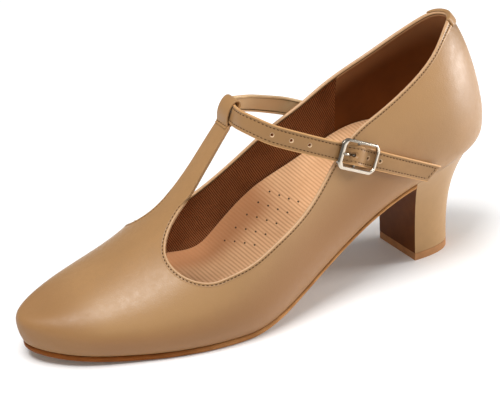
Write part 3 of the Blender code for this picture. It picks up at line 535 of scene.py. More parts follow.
def cells(rows, columns, flip=False, wrap=False):
    """Corner numbers of a grid's quads; wrap joins the last column to the first."""
    i, j = np.meshgrid(np.arange(rows - 1), np.arange(columns if wrap else columns - 1), indexing="ij")
    k = (j + 1) % columns
    quad = np.stack([i * columns + j, (i + 1) * columns + j, (i + 1) * columns + k, i * columns + k], -1)
    quad = quad.reshape(-1, 4)
    return quad[:, ::-1] if flip else quad


def ruled(left, right, count):
    """Grid of straight rows, from each point of one line to the same point of another."""
    t = np.linspace(0, 1, count)[None, :, None]
    return left[:, None] * (1 - t) + right[:, None] * t


def capped(grid):
    """Grid of closed rows with both of its ends run in to their middles."""
    ends = [np.repeat(grid[k].mean(0)[None, None], grid.shape[1], 1) for k in (0, -1)]
    return np.concatenate([ends[0], grid, ends[1]])


def uv_grid(points, u=0.0, v=0.0):
    """A grid's uv; u and v may be numbers, rows, columns or whole grids."""
    return np.stack(np.broadcast_arrays(np.zeros(points.shape[:2]), u, v)[1:], -1)


def link(name, data):
    """New object at the origin, in the scene."""
    obj = bpy.data.objects.new(name, data)
    bpy.context.scene.collection.objects.link(obj)
    return obj


class Piece:
    """Grids of table points gathered into one mesh."""

    def __init__(self):
        self.points, self.quads, self.uv, self.finish = [], [], [], []
        self.count = 0

    def gather(self, points, quads, uv, finish):
        self.points.append(points.reshape(-1, 3))
        self.quads.append(quads + self.count)
        self.uv.append(uv)
        self.finish.append(np.full(len(quads), finish))
        self.count += len(self.points[-1])

    def add(self, points, flip=False, wrap=False, uv=None, finish=0):
        """A grid (rows, columns, 3). Its uv are 0 unless given."""
        quads = cells(*points.shape[:2], flip, wrap)
        uv = uv_grid(points) if uv is None else uv
        self.gather(points, quads, uv.reshape(-1, 2)[quads], finish)

    def swept(self, path, side, out, profile, **more):
        """A closed profile (points across and out) carried along a path, with both ends closed.

        Point = path + side times across + out times height; the ends run in to their middle.
        """
        profile = np.asarray(profile, float)
        if profile.ndim == 2:
            profile = np.broadcast_to(profile, (len(path),) + profile.shape)
        grid = path[:, None] + side[:, None] * profile[..., :1] + out[:, None] * profile[..., 1:]
        self.add(capped(grid), wrap=True, **more)

    def copies(self, template, quads, middle, axes):
        """One small shape at many places: place + its three coordinates times the place's axes."""
        points = middle[:, None] + sum(a[:, None] * template[None, :, k, None] for k, a in enumerate(axes))
        many = ((np.arange(len(middle)) * len(template))[:, None, None] + quads[None]).reshape(-1, 4)
        self.gather(points, many, np.zeros((len(many), 4, 2)), 0)

    def mesh(self, name, finishes, outward, merge):
        """What is gathered as a mesh, with points that lie nearer than merge joined."""
        mesh = bpy.data.meshes.new(name)
        points, quads = metres(np.concatenate(self.points)), np.concatenate(self.quads)
        mesh.from_pydata(points.tolist(), [], quads.tolist())
        mesh.uv_layers.new(name="UVMap").data.foreach_set("uv", np.concatenate(self.uv).ravel())
        for finish in finishes:
            mesh.materials.append(finish)
        mesh.polygons.foreach_set("material_index", np.concatenate(self.finish).astype(np.int32))
        bm = bmesh.new()
        bm.from_mesh(mesh)
        bmesh.ops.remove_doubles(bm, verts=bm.verts, dist=merge * MM)
        bmesh.ops.dissolve_degenerate(bm, edges=bm.edges, dist=1e-7)
        if outward:
            bmesh.ops.recalc_face_normals(bm, faces=bm.faces)
        bm.to_mesh(mesh)
        bm.free()
        return mesh

    def build(self, name, finishes, sharp=40.0, outward=False, merge=0.002):
        """Mesh object at the origin that rides on the shoe's one body."""
        mesh = self.mesh(name, finishes, outward, merge)
        mesh.shade_smooth()
        mesh.set_sharp_from_angle(angle=math.radians(sharp))
        obj = link(name, mesh)
        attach(obj, "root")
        return obj


def thicken(obj, thickness):
    """Solidify inwards from the outside."""
    wall = obj.modifiers.new("wall", "SOLIDIFY")
    wall.thickness = thickness * MM
    wall.offset = -1.0


def soften(obj, width, segments):
    """Bevel on the sharp edges."""
    bevel = obj.modifiers.new("edges", "BEVEL")
    bevel.width, bevel.segments = width * MM, segments
    bevel.limit_method, bevel.angle_limit = "ANGLE", math.radians(50)


def pill(length, width, height, rows=7, columns=8):
    """Small rounded shape as template points and quads: a circle carried along, shrinking to both ends."""
    t = np.linspace(-1, 1, rows)
    round_off = np.clip(1 - np.abs(t) ** 4, 0, 1) ** 0.5
    turn = np.arange(columns) * 2 * math.pi / columns
    grid = np.stack(np.broadcast_arrays((t * length / 2)[:, None],
                                        round_off[:, None] * width / 2 * np.cos(turn),
                                        round_off[:, None] * height / 2 * np.sin(turn)), -1)
    return grid.reshape(-1, 3), cells(rows, columns, wrap=True)


# Finishes


class Wire:
    """A socket in a material's tree. Sums written on it add Math nodes."""

    def __init__(self, finish, socket):
        self.finish, self.socket = finish, socket

    def math(self, operation, *values):
        return self.finish.node("Math", {"operation": operation}, dict(enumerate((self,) + values)))

    def __add__(self, other):
        return self.math("ADD", other)

    def __sub__(self, other):
        return self.math("SUBTRACT", other)

    def __rsub__(self, other):
        return self.finish.node("Math", {"operation": "SUBTRACT"}, {0: other, 1: self})

    def __mul__(self, other):
        return self.math("MULTIPLY", other)

    __radd__, __rmul__ = __add__, __mul__

    def between(self, low, high):
        """0 below low, 1 above high, eased between."""
        return self.finish.node("MapRange", {"interpolation_type": "SMOOTHSTEP"},
                                {"Value": self, "From Min": low, "From Max": high})


class Finish:
    """A material in the making, with one method for any node."""

    def __init__(self, name, constants):
        self.material = bpy.data.materials.new(name)
        self.material.use_nodes = True
        self.tree = self.material.node_tree
        self.shader = self.tree.nodes["Principled BSDF"]
        self.put(constants)

    def put(self, values, node=None):
        for key, value in values.items():
            socket = (node or self.shader).inputs[key]
            if isinstance(value, Wire):
                self.tree.links.new(value.socket, socket)
            else:
                socket.default_value = value
        return self.material

    def node(self, kind, settings=None, inputs=None, output=0):
        node = self.tree.nodes.new("ShaderNode" + kind)
        for key, value in (settings or {}).items():
            setattr(node, key, value)
        self.put(inputs or {}, node)
        return Wire(self, node.outputs[output])

    def place(self, scale=(1.0, 1.0, 1.0)):
        """Object coordinates in millimetres, stretched."""
        where = self.node("TexCoord", output="Object")
        return self.node("VectorMath", {"operation": "MULTIPLY"}, {0: where, 1: [1000.0 * v for v in scale]})

    def parts(self, vector):
        return [self.node("SeparateXYZ", inputs={0: vector}, output=k) for k in range(3)]

    def uv(self):
        """The piece's own u and v."""
        return self.parts(self.node("UVMap", {"uv_map": "UVMap"}))[:2]

    def noise(self, vector, size, detail=2.0, roughness=0.5):
        """Noise of the given size in the vector's units, 0 to 1."""
        return self.node("TexNoise", inputs={"Vector": vector, "Scale": 1.0 / size, "Detail": detail,
                                             "Roughness": roughness})

    def ribs(self, where, lean, pitch, wander, wander_size):
        """Wave of 0 to 1 along X and Z, by the shares in lean; its lines wander by so many millimetres."""
        x, _, z = self.parts(where)
        line = x * lean[0] + z * lean[1] + (self.noise(where, wander_size, 2.0) - 0.5) * wander
        return (line * (2 * math.pi / pitch)).math("SINE") * 0.5 + 0.5

    def mix(self, factor, a, b):
        return self.node("Mix", {"data_type": "RGBA"}, {0: factor, 6: a, 7: b}, 2)

    def bump(self, height, distance, strength=1.0):
        """Normal of a height given in units of distance (metres)."""
        return self.node("Bump", inputs={"Strength": strength, "Distance": distance, "Height": height})


def shade(colour, factor):
    return [min(1.0, c * factor) for c in colour[:3]] + [1.0]


def tint(colour, red, green, blue):
    """Colour with each of its parts scaled."""
    return [colour[0] * red, colour[1] * green, colour[2] * blue, 1.0]


def leather(name, colour, roughness=0.42, grain=1.0, painted_edge_highlight=0.0, painted_light_and_burnish=False):
    """Smooth finished leather: cloudy colour, fine pores, soft sheen that changes from place to place.

    Within the given width of either end of the piece's v the colour is painted paler: a painted highlight
    on both edges, stronger on the lower one. Where u is over 1 the piece shows its paler lining, painted
    paler still as painted light against its shade, between a furrow of painted shade and a painted-highlight
    edge on either side. A burnished piece has painted shade low on its sides, at the toe and high at the
    back, and painted light half-way up; its v is the rise on the last, and it has less coat.
    """
    f = Finish(name, {"Coat Roughness": 0.34, "Coat IOR": 1.4,
                      "Specular IOR Level": 0.36 if painted_light_and_burnish else 0.22})
    where = f.place()
    cloud = f.noise(where, 34.0, 3.0)
    mottle = f.noise(where, 3.2, 3.0, 0.6)
    pores = f.node("TexVoronoi", {"feature": "F1"}, {"Vector": where, "Scale": 1.0 / 0.55})
    fine = f.noise(where, 0.35, 2.0)
    tone = f.mix(cloud.between(0.3, 0.7), shade(colour, 0.94), shade(colour, 1.06))
    tone = f.mix(mottle.between(0.35, 0.75) * 0.35, tone, shade(colour, 0.90))
    if painted_light_and_burnish:
        rise, x = f.uv()[1], f.parts(where)[0]
        # Masks of painted shade (toe, low on the sides, crown of the back) and of painted light (half-way
        # up)
        toe = 1 - x.between(-113.0, -90.0)
        low = (1 - rise.between(0.22, 0.36)) * (1 - x.between(45.0, 80.0))
        half_way_painted_light = rise.between(0.28, 0.42) * (1 - rise.between(0.55, 0.80)) * (1 - toe)
        half_way_painted_light *= (1 - x.between(10.0, 60.0) * 0.5) * (1 - x.between(78.0, 100.0))
        crown_painted_shade = x.between(86.0, 108.0) * rise.between(0.52, 0.70)
        # Painted light half-way up; painted shade low on the sides, at the toe and at the crown of the back
        tone = f.mix(half_way_painted_light * 0.85, tone, tint(colour, 1.14, 1.20, 1.30))
        tone = f.mix(low * 0.85, tone, tint(colour, 0.79, 0.68, 0.58))
        tone = f.mix(toe * 0.8, tone, tint(colour, 0.86, 0.80, 0.72))
        tone = f.mix(crown_painted_shade * 0.9, tone, tint(colour, 0.68, 0.66, 0.56))
        roughness = toe * 0.14 + crown_painted_shade * 0.20 + (mottle - 0.5) * 0.24 + roughness
    if painted_edge_highlight:
        along, across = f.uv()
        off = (across - 0.5).math("ABSOLUTE")
        # Painted highlight along both edges of the strap, stronger on the lower edge
        pale = f.mix(across.between(0.45, 0.55), shade(colour, 2.1), shade(colour, 1.65))
        tone = f.mix(off.between(0.5 - painted_edge_highlight, 0.5 - 0.5 * painted_edge_highlight) * 0.85, tone, pale)
        # Painted shade in the furrow; the inner face is painted paler as painted light against its shade
        furrow = off.between(0.31, 0.34) * (1 - off.between(0.36, 0.39))
        lining = f.mix(off.between(0.36, 0.40), tint(colour, 2.4, 3.2, 4.4), tint(colour, 2.6, 3.5, 5.0))
        lining = f.mix(furrow * 0.85, lining, shade(colour, 0.5))
        tone = f.mix(along.between(1.4, 1.6), tone, lining)
    rough = roughness + (cloud - 0.5) * 0.10 + (mottle - 0.5) * 0.08
    height = pores * 0.55 + fine * 0.45 + mottle * 0.8
    coat = 0.02 + cloud * 0.04 if painted_light_and_burnish else 0.10 + cloud * 0.10
    return f.put({"Base Color": tone, "Roughness": rough, "Coat Weight": coat,
                  "Normal": f.bump(height, 0.00002 * grain, 0.6)})


def fold_leather(name, colour, light):
    """Leather of the turned edge: pale on the inner roll, with painted shade in the stitch groove and below
    the roll.
    """
    f = Finish(name, {"Specular IOR Level": 0.4})
    where = f.place()
    along, round_way = f.uv()
    mottle = f.noise(where, 1.6, 3.0, 0.6)
    roll = round_way.between(0.28, 0.36) * (1 - round_way.between(0.64, 0.69))
    # Painted shade in the stitch groove
    seam = round_way.between(0.12, 0.17) * (1 - round_way.between(0.23, 0.28))
    tone = f.mix(roll, shade(colour, 1.04), light)
    tone = f.mix(seam * 0.7, tone, shade(colour, 0.42))
    # Painted shade where the roll turns down to the lining
    tone = f.mix(round_way.between(0.66, 0.71), tone, shade(colour, 0.25))
    tone = f.mix(mottle.between(0.4, 0.8) * 0.4, tone, shade(colour, 0.86))
    pucker = (along * (2 * math.pi / 1.9)).math("SINE")
    return f.put({"Base Color": tone, "Roughness": 0.42 + (mottle - 0.5) * 0.15,
                  "Normal": f.bump(mottle * 0.6 + pucker * 0.25, 0.00005)})


def ribbed_cloth(name, colour, dark, pitch=1.67):
    """Cloth with fine ribs across the foot and uneven yarn over them.

    Painted shade darkens it in the hollow under the arch, as the piece's u and v tell.
    """
    f = Finish(name, {"Specular IOR Level": 0.15, "Sheen Weight": 0.10, "Sheen Roughness": 0.5})
    where = f.place()
    wave = f.ribs(where, (0.78, 0.61), pitch, wander=0.5, wander_size=16.0)
    yarn = f.noise(f.place((1.0, 0.5, 1.0)), 0.40, 2.0, 0.6)
    cloud = f.noise(where, 13.0, 3.0)
    tone = f.mix(wave.between(0.0, 0.8) * 0.75 + 0.12, dark, colour)
    tone = f.mix(cloud.between(0.42, 0.72) * 0.40, tone, shade(dark, 1.02))
    tone = f.mix(yarn.between(0.45, 0.85) * 0.30, tone, shade(colour, 1.18))
    u, v = f.uv()
    # Painted shade in the hollow under the arch
    hollow = v.between(0.70, 0.86) * u.between(0.40, 0.46) * (1 - u.between(0.62, 0.72))
    tone = f.mix(hollow * 0.9, tone, tint(dark, 0.75, 0.63, 0.56))
    return f.put({"Base Color": tone, "Roughness": 0.85 + (yarn - 0.5) * 0.1,
                  "Normal": f.bump(wave * 0.45 + yarn * 0.45, 0.00016)})


def lining_finish(name, cloth, cloth_dark, smooth, pitch=0.95):
    """Ribbed cloth in front and smooth leather round the heel; the piece's u tells which, v how high."""
    f = Finish(name, {"Specular IOR Level": 0.1})
    where = f.place()
    u, v = f.uv()
    heel = u.between(0.5, 0.52)
    wave = f.ribs(where, (0.86, 0.51), pitch, wander=1.2, wander_size=9.0)
    yarn = f.noise(where, 0.42, 2.0, 0.65)
    cloud = f.noise(where, 16.0, 3.0)
    tone = f.mix(wave.between(0.1, 0.9), cloth_dark, cloth)
    tone = f.mix(yarn.between(0.48, 0.8) * 0.45, tone, shade(cloth, 1.35))
    tone = f.mix(cloud.between(0.4, 0.7) * 0.35, tone, cloth_dark)
    hide = f.mix(cloud.between(0.3, 0.7), shade(smooth, 0.9), shade(smooth, 1.12))
    # Painted light: the smooth heel lining is painted paler towards its top
    hide = f.mix(v.between(0.74, 1.0), hide, tint(smooth, 2.6, 4.2, 9.0))
    return f.put({"Base Color": f.mix(heel, tone, hide),
                  "Roughness": 0.85 - heel * 0.30 + (yarn - 0.5) * 0.1,
                  "Normal": f.bump((wave * 0.5 + yarn * 0.6) * (1 - heel) + yarn * heel * 0.12, 0.00018)})


def sole_finish(name, side, tread):
    """Sole leather: stained edge, paler towards the waist, and scuffed tread where the piece's v is 1."""
    f = Finish(name, {"Specular IOR Level": 0.08})
    where = f.place()
    down = f.uv()[1].between(0.45, 0.55)
    layers = f.noise(f.place((0.12, 0.12, 1.0)), 0.5, 3.0, 0.6)
    cloud = f.noise(where, 12.0, 4.0, 0.6)
    scuff = f.noise(f.place((0.25, 1.0, 1.0)), 1.5, 4.0, 0.65)
    rim = f.mix(layers.between(0.3, 0.75), shade(side, 0.78), shade(side, 1.15))
    rim = f.mix(f.parts(where)[0].between(-85.0, -10.0) * 0.95, rim, tint(side, 2.1, 3.5, 7.3))
    rim = f.mix(cloud.between(0.35, 0.7) * 0.5, rim, shade(side, 0.7))
    base = f.mix(scuff.between(0.35, 0.8), tread, shade(tread, 0.72))
    return f.put({"Base Color": f.mix(down, rim, base),
                  "Roughness": 0.50 + down * 0.27 + (scuff - 0.5) * 0.15,
                  "Normal": f.bump(layers * 0.6 + scuff * 0.4, 0.00005)})


def rubber(name, colour):
    """Matt rubber, or raw or dark leather: cloudy, with a fine tooth."""
    f = Finish(name, {"Specular IOR Level": 0.15})
    where = f.place()
    tooth = f.noise(where, 0.4, 3.0, 0.6)
    cloud = f.noise(where, 6.0, 3.0)
    tone = f.mix(cloud.between(0.3, 0.75), shade(colour, 0.86), shade(colour, 1.1))
    return f.put({"Base Color": tone, "Roughness": 0.58 + (tooth - 0.5) * 0.2,
                  "Normal": f.bump(tooth, 0.00004)})


def metal(name, colour):
    """Polished pale plating with faint rub marks, and painted shade on low u (front bar) and high v (upper
    rail).
    """
    f = Finish(name, {"Metallic": 1.0})
    where = f.place()
    rub = f.noise(f.place((0.3, 1.0, 1.0)), 0.6, 3.0, 0.6)
    cloud = f.noise(where, 4.0, 2.0)
    tone = f.mix(cloud.between(0.3, 0.7), shade(colour, 0.92), colour)
    u, v = f.uv()
    # Painted shade on the front bar's outer side and on the upper rail
    painted_shade_bars = (1 - u.between(0.02, 0.09)) * 0.7 + v.between(0.86, 0.93) * 0.6
    tone = f.mix(painted_shade_bars.math("MINIMUM", 0.8), tone, shade(colour, 0.35))
    return f.put({"Base Color": tone, "Roughness": 0.16 + rub * 0.12, "Normal": f.bump(rub, 0.000004)})


def thread(name, colour):
    """Waxed thread, uneven in tone and height."""
    f = Finish(name, {"Specular IOR Level": 0.06})
    where = f.place()
    twist = f.noise(where, 0.25, 2.0)
    tone = f.mix(twist, shade(colour, 0.7), shade(colour, 1.3))
    return f.put({"Base Color": tone, "Roughness": 0.6 + (twist - 0.5) * 0.2,
                  "Normal": f.bump(twist, 0.00004)})


# Properties


def colour_prop(name, description, default):
    return bpy.props.FloatVectorProperty(name=name, description=description, subtype="COLOR", size=4,
                                         min=0.0, max=1.0, default=tuple(default) + (1.0,))


def length_prop(name, description, default):
    return bpy.props.FloatProperty(name=name, description=description, default=default * MM, unit="LENGTH",
                                   subtype="DISTANCE", precision=5)


class ShoeColours(bpy.types.PropertyGroup):
    """Colours of the shoe's finishes."""

    tan: colour_prop("Tan leather", "Upper, strap and heel cover", (0.378, 0.205, 0.083))
    roll: colour_prop("Turned edge", "Pale inner roll along the topline", (0.60, 0.36, 0.19))
    cut: colour_prop("Cut edge", "Raw leather in the strap's holes", (0.66, 0.46, 0.28))
    lining: colour_prop("Lining cloth", "Ribbed cloth in the vamp and quarters", (0.37, 0.150, 0.060))
    lining_dark: colour_prop("Lining furrows", "Between the lining's ribs", (0.110, 0.032, 0.008))
    heel_lining: colour_prop("Heel lining", "Smooth leather inside the heel", (0.15, 0.044, 0.009))
    sock: colour_prop("Sock", "Ribbed cloth on the insole", (0.87, 0.525, 0.29))
    sock_dark: colour_prop("Sock furrows", "Between the sock's ribs", (0.60, 0.31, 0.145))
    sole: colour_prop("Sole edge", "Stained edge of the sole", (0.255, 0.075, 0.013))
    tread: colour_prop("Tread", "Under face of the sole", (0.40, 0.24, 0.13))
    # The heel's front is a much darker brown than the tan of its sides
    breast: colour_prop("Heel breast", "Stained leather on the heel's front", (0.140, 0.038, 0.003))
    lift: colour_prop("Top lift", "Rubber under the heel", (0.46, 0.22, 0.09))
    metal: colour_prop("Buckle", "Pale plating", (0.70, 0.61, 0.50))
    thread: colour_prop("Thread", "Stitches", (0.085, 0.040, 0.016))


class ShoeSizes(bpy.types.PropertyGroup):
    """Sizes of the shoe's fine detail."""

    leather: length_prop("Leather", "Thickness of the upper's leather", 1.0)
    lining: length_prop("Lining", "Thickness of the lining", 0.6)
    stitch_pitch: length_prop("Stitch pitch", "From stitch to stitch along the topline", 1.80)
    stitch_inset: length_prop("Stitch inset", "From the topline to its stitches", 1.25)
    strap_pitch: length_prop("Strap stitch pitch", "From stitch to stitch along the strap", 1.85)
    strap_inset: length_prop("Strap stitch inset", "From the strap's edges to their stitches", 1.65)
    tab: length_prop("Back tab", "Height of the patch on the back of the collar", 5.4)


def size(context, name):
    """A size in millimetres."""
    return getattr(context.scene.shoe_sizes, name) / MM


def colour(context, name):
    return list(getattr(context.scene.shoe_colours, name))


# Pieces


def upper_grids(piece, depth=np.zeros_like, drop=0.0, u=None):
    """Walls of both sides, vamp and T-bar as grids on the last, moved inwards by depth, a function of share.

    Rows run from heel to toe. Columns run from the feather line to the topline (drop millimetres
    below it) and on the vamp right over the ridge. Grids share their border points. Their v is the
    rise; where u, another function of share, is given, v is the part of the wall's height instead.
    """
    wall = eased(0, THROAT_LOW, THROAT_SHARE, 130, 40)
    bar = eased(TBAR_SHARE, 0.69, THROAT_SHARE, 44, 30)
    vamp = 1 - (1 - THROAT_SHARE) * np.linspace(1, 0, 64) ** 1.15
    low, high = np.linspace(0, 1, 47) ** 0.9, np.linspace(0, 1, 19)
    deep = depth(np.ones(1))[0]
    fronts = []
    for side in (OUTER, INNER):
        flip = side == OUTER
        top = wall_top(wall, side)
        top = top - drop / rise_length(wall, side, top) * (1 - smoothstep(THROAT_LOW, THROAT_SHARE, wall))
        rise = top[:, None] * low
        p, n = on_last(wall[:, None], side, rise)
        uv = uv_grid(p, u(wall)[:, None], low) if u else uv_grid(p, v=rise)
        piece.add(p - n * depth(wall)[:, None, None], flip, uv=uv)
        start = tbar_edge(bar, side)[:, None]
        rise = start + (1 - start) * high
        p, n = on_last(bar[:, None], side, rise)
        piece.add(p - n * deep, flip, uv=uv_grid(p, v=0.0 if u else rise))
        rise = np.concatenate([THROAT_RISE * low[:-1], THROAT_RISE + (1 - THROAT_RISE) * high])
        fronts.append((on_last(vamp[:, None], side, rise[None]), flip))
    tip = unit(sum(n[-2] for (_, n), _ in fronts))
    for (p, n), flip in fronts:
        n[-1] = tip
        piece.add(p - n * deep, flip, uv=uv_grid(p, v=0.0 if u else rise))


class SHOE_OT_upper(bpy.types.Operator):
    """Leather upper with its T-bar, and the lining inside it"""

    bl_idname = "shoe.upper"
    bl_label = "Upper and lining"

    def execute(self, context):
        # The upper's leather carries painted shade and painted light on its sides, toe and back
        tan = leather("tan_leather", colour(context, "tan"), 0.38, 5.0, painted_light_and_burnish=True)
        piece = Piece()
        upper_grids(piece)
        shell = piece.build("upper_leather", [tan], merge=SHELL_MERGE)
        thick = size(context, "leather")
        thicken(shell, thick)
        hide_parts("upper")

        inner = lining_finish("lining", colour(context, "lining"), colour(context, "lining_dark"),
                              colour(context, "heel_lining"))
        piece = Piece()
        upper_grids(piece, lambda s: thick + LINING_GAP + HEEL_LINING_STEP * (s < HEEL_LINING_SHARE),
                    LINING_DROP, lambda s: (s < HEEL_LINING_SHARE) * 1.0)
        cloth = piece.build("upper_lining", [inner], merge=SHELL_MERGE)
        thicken(cloth, size(context, "lining"))
        return {"FINISHED"}


def fold_profile(amount, spread):
    """Section of the turned edge for each amount of fold, its lip as many times wider as spread says."""
    full, plain = np.array(TURNED_EDGE), np.array(PLAIN_EDGE)
    profile = plain + (full - plain) * amount[:, None, None]
    lip = profile[:, :LIP_POINTS, 0]
    profile[:, :LIP_POINTS, 0] = np.where(lip < LIP_FROM, lip * spread[:, None], lip)
    return profile


def collar_patch(height):
    """Grid of the patch on the back of the collar: over the rim, then down the outside.

    Its shares run either side of the middle of the heel, below 0 on the inner side, and it thins
    towards its edges.
    """
    share = np.linspace(-TAB_SHARE, TAB_SHARE, 61)
    off, deep = np.abs(share) / TAB_SHARE, np.linspace(0, 1, 17)
    rise = np.where(share < 0, wall_top(np.abs(share), INNER), wall_top(np.abs(share), OUTER))
    fall = height * (1 - TAB_TAPER * off**TAB_TAPER_POWER) / rise_length(share, OUTER, rise)
    q, n = on_last(share[:, None], OUTER, rise[:, None] - fall[:, None] * deep)
    ends = 1 - off ** np.where(share > 0, TAB_OUTER_END, TAB_INNER_END)
    rim = np.minimum(ends[:, None], 1 - deep**TAB_RIM)
    outside = q + n * (TAB_STAND + TAB_T * np.clip(rim, 0, 1) ** 0.5)[..., None]
    full = (np.clip(ends, 0, 1) ** 0.5)[:, None]
    upward = unit(q[:, 0] - q[:, 1])
    roll = [q[:, 0] + (a * upward + b * n[:, 0]) * full for a, b in TAB_ROLL]
    return np.concatenate([np.stack(roll, 1), outside], 1)


class SHOE_OT_topline(bpy.types.Operator):
    """Turned edge round the openings with its stitches, and the patch on the back of the collar"""

    bl_idname = "shoe.topline"
    bl_label = "Topline"

    def execute(self, context):
        p, along, out, over, amount, at = topline_path()
        spread = 1 + LIP_SPREAD * smoothstep(*LIP_SPREAD_X, p[:, 0])
        profile = fold_profile(amount, spread)
        count = profile.shape[1]
        uv = np.zeros((len(p) + 2, count, 2))
        uv[1:-1, :, 0], uv[1:-1, :, 1] = at[:, None], np.arange(count) / count * amount[:, None]
        piece = Piece()
        piece.swept(p, over, out, profile, uv=uv)
        edge_leather = fold_leather("turned_edge", colour(context, "tan"), colour(context, "roll"))
        piece.build("topline_fold", [edge_leather], sharp=70, outward=True)

        wax = thread("thread", colour(context, "thread"))
        keep = np.nonzero(amount > 0.9)[0]
        spots = np.arange(at[keep[0]], at[keep[-1]], size(context, "stitch_pitch"))
        p, along, out, over = (resample(spots, at, v) for v in (p, along, out, over))
        inset = size(context, "stitch_inset") * np.interp(spots, at, spread)
        middle = p - over * inset[:, None] - out * STITCH_SINK
        piece = Piece()
        piece.copies(*pill(*TOPLINE_STITCH), middle, [unit(v) for v in (along, over, out)])
        piece.build("topline_stitches", [wax], outward=True)

        tab = Piece()
        tab.add(collar_patch(size(context, "tab")), flip=True)
        tan = leather("tab_leather", shade(colour(context, "tan"), 0.95))
        patch = tab.build("back_tab", [tan])
        thicken(patch, TAB_WALL)
        return {"FINISHED"}


def rounded_bar(half_w, half_t, ease, steps=4):
    """Closed profile of a flat band with rounded edges."""
    turn = np.linspace(0, math.pi / 2, steps + 1)
    x, y = half_w - ease + ease * np.cos(turn), half_t - ease + ease * np.sin(turn)
    corner = np.stack([x, y], 1)
    return np.concatenate([corner, corner[::-1] * (-1, 1), -corner, corner[::-1] * (1, -1)])


class SHOE_OT_tbar_fold(bpy.types.Operator):
    """Upper end of the T-bar, folded forwards over the strap and sewn down on its front"""

    bl_idname = "shoe.tbar_fold"
    bl_label = "T-bar fold"

    def execute(self, context):
        a, u, n = (v[0] for v in STRAP_PATH.frame(np.array([STRAP_PATH.fold])))
        middle = STRAP_PATH.middle(np.array([STRAP_PATH.fold]))[0]
        route, s = curve(np.array(FOLD_ROUTE), 90)
        axes = np.stack([a, u, n])
        line = middle + route @ axes
        width = np.broadcast_to(unit(TBAR_ACROSS @ axes), line.shape)
        along = unit(np.gradient(line, axis=0))
        out = unit(np.cross(width, along))
        piece = Piece()
        piece.swept(line, width, out, rounded_bar(FOLD_HALF_W, FOLD_T / 2, FOLD_EDGE_R))
        tan = leather("fold_leather", colour(context, "tan"))
        piece.build("tbar_fold", [tan], outward=True)

        wax = bpy.data.materials["thread"]
        k = int(np.argmin(np.abs(s - (s[-1] - FOLD_STITCH_BACK))))
        spots = np.linspace(-FOLD_STITCH_HALF, FOLD_STITCH_HALF, 5)[:, None]
        face = out[k] * np.sign(out[k] @ n)
        centre = line[k] + spots * width[k] + FOLD_T / 2 * face
        axes = [np.broadcast_to(v, centre.shape) for v in (width[k], along[k], face)]
        piece = Piece()
        piece.copies(*pill(*CROSS_STITCH), centre, axes)
        piece.build("tbar_stitches", [wax], outward=True)
        return {"FINISHED"}


def strap_profile():
    """Closed profile of the strap, and how many of its points lie outside.

    Folded edges with a stitched furrow outside, lining let in between them inside.
    """
    half, t = STRAP_W / 2, STRAP_T / 2
    seam = half - STRAP_SEAM
    right = [(half, -0.05), (half - 0.05, 0.30), (half - 0.22, 0.56), (half - 0.55, t), (half - 0.95, 0.68),
             (seam + 0.22, 0.52), (seam, 0.40), (seam - 0.22, 0.50), (seam - 0.7, 0.58), (seam - 1.6, 0.62)]
    under = [(seam - 1.6, -0.36), (seam - 0.5, -0.36), (seam + 0.12, -0.32), (seam + 0.22, -0.64),
             (half - 0.8, -t), (half - 0.30, -0.60), (half - 0.06, -0.34)]
    outer = np.array(right + [(-x, y) for x, y in right[::-1]])
    inner = np.array([(-x, y) for x, y in under[::-1]] + under)
    return np.concatenate([outer, inner]), len(outer)


def cutter(name, rings, finish):
    """Closed round solid through rings of points, used to cut the strap."""
    piece = Piece()
    piece.add(capped(np.stack(rings)), wrap=True)
    return link(name, piece.mesh(name, [finish], outward=True, merge=0.001))


def punch(name, at, finish):
    """Cutter for a round hole, or for a slot between two places along the strap."""
    turn = np.arange(20) * math.pi / 10
    half = (at[-1] - at[0]) / 2
    s = np.array([STRAP_PATH.buckle + (at[0] + at[-1]) / 2])
    a, u, n = (v[0] for v in STRAP_PATH.frame(s))
    middle = STRAP_PATH.point(s, 0.0, 0.0)[0]
    rings = []
    for out, grow in PUNCH:
        radius = HOLE_D / 2 * grow
        along = radius * np.cos(turn) + half * np.sign(np.cos(turn)).round()
        rings.append(middle + along[:, None] * a + (radius * np.sin(turn))[:, None] * u + out * n)
    return cutter(name, rings, finish)


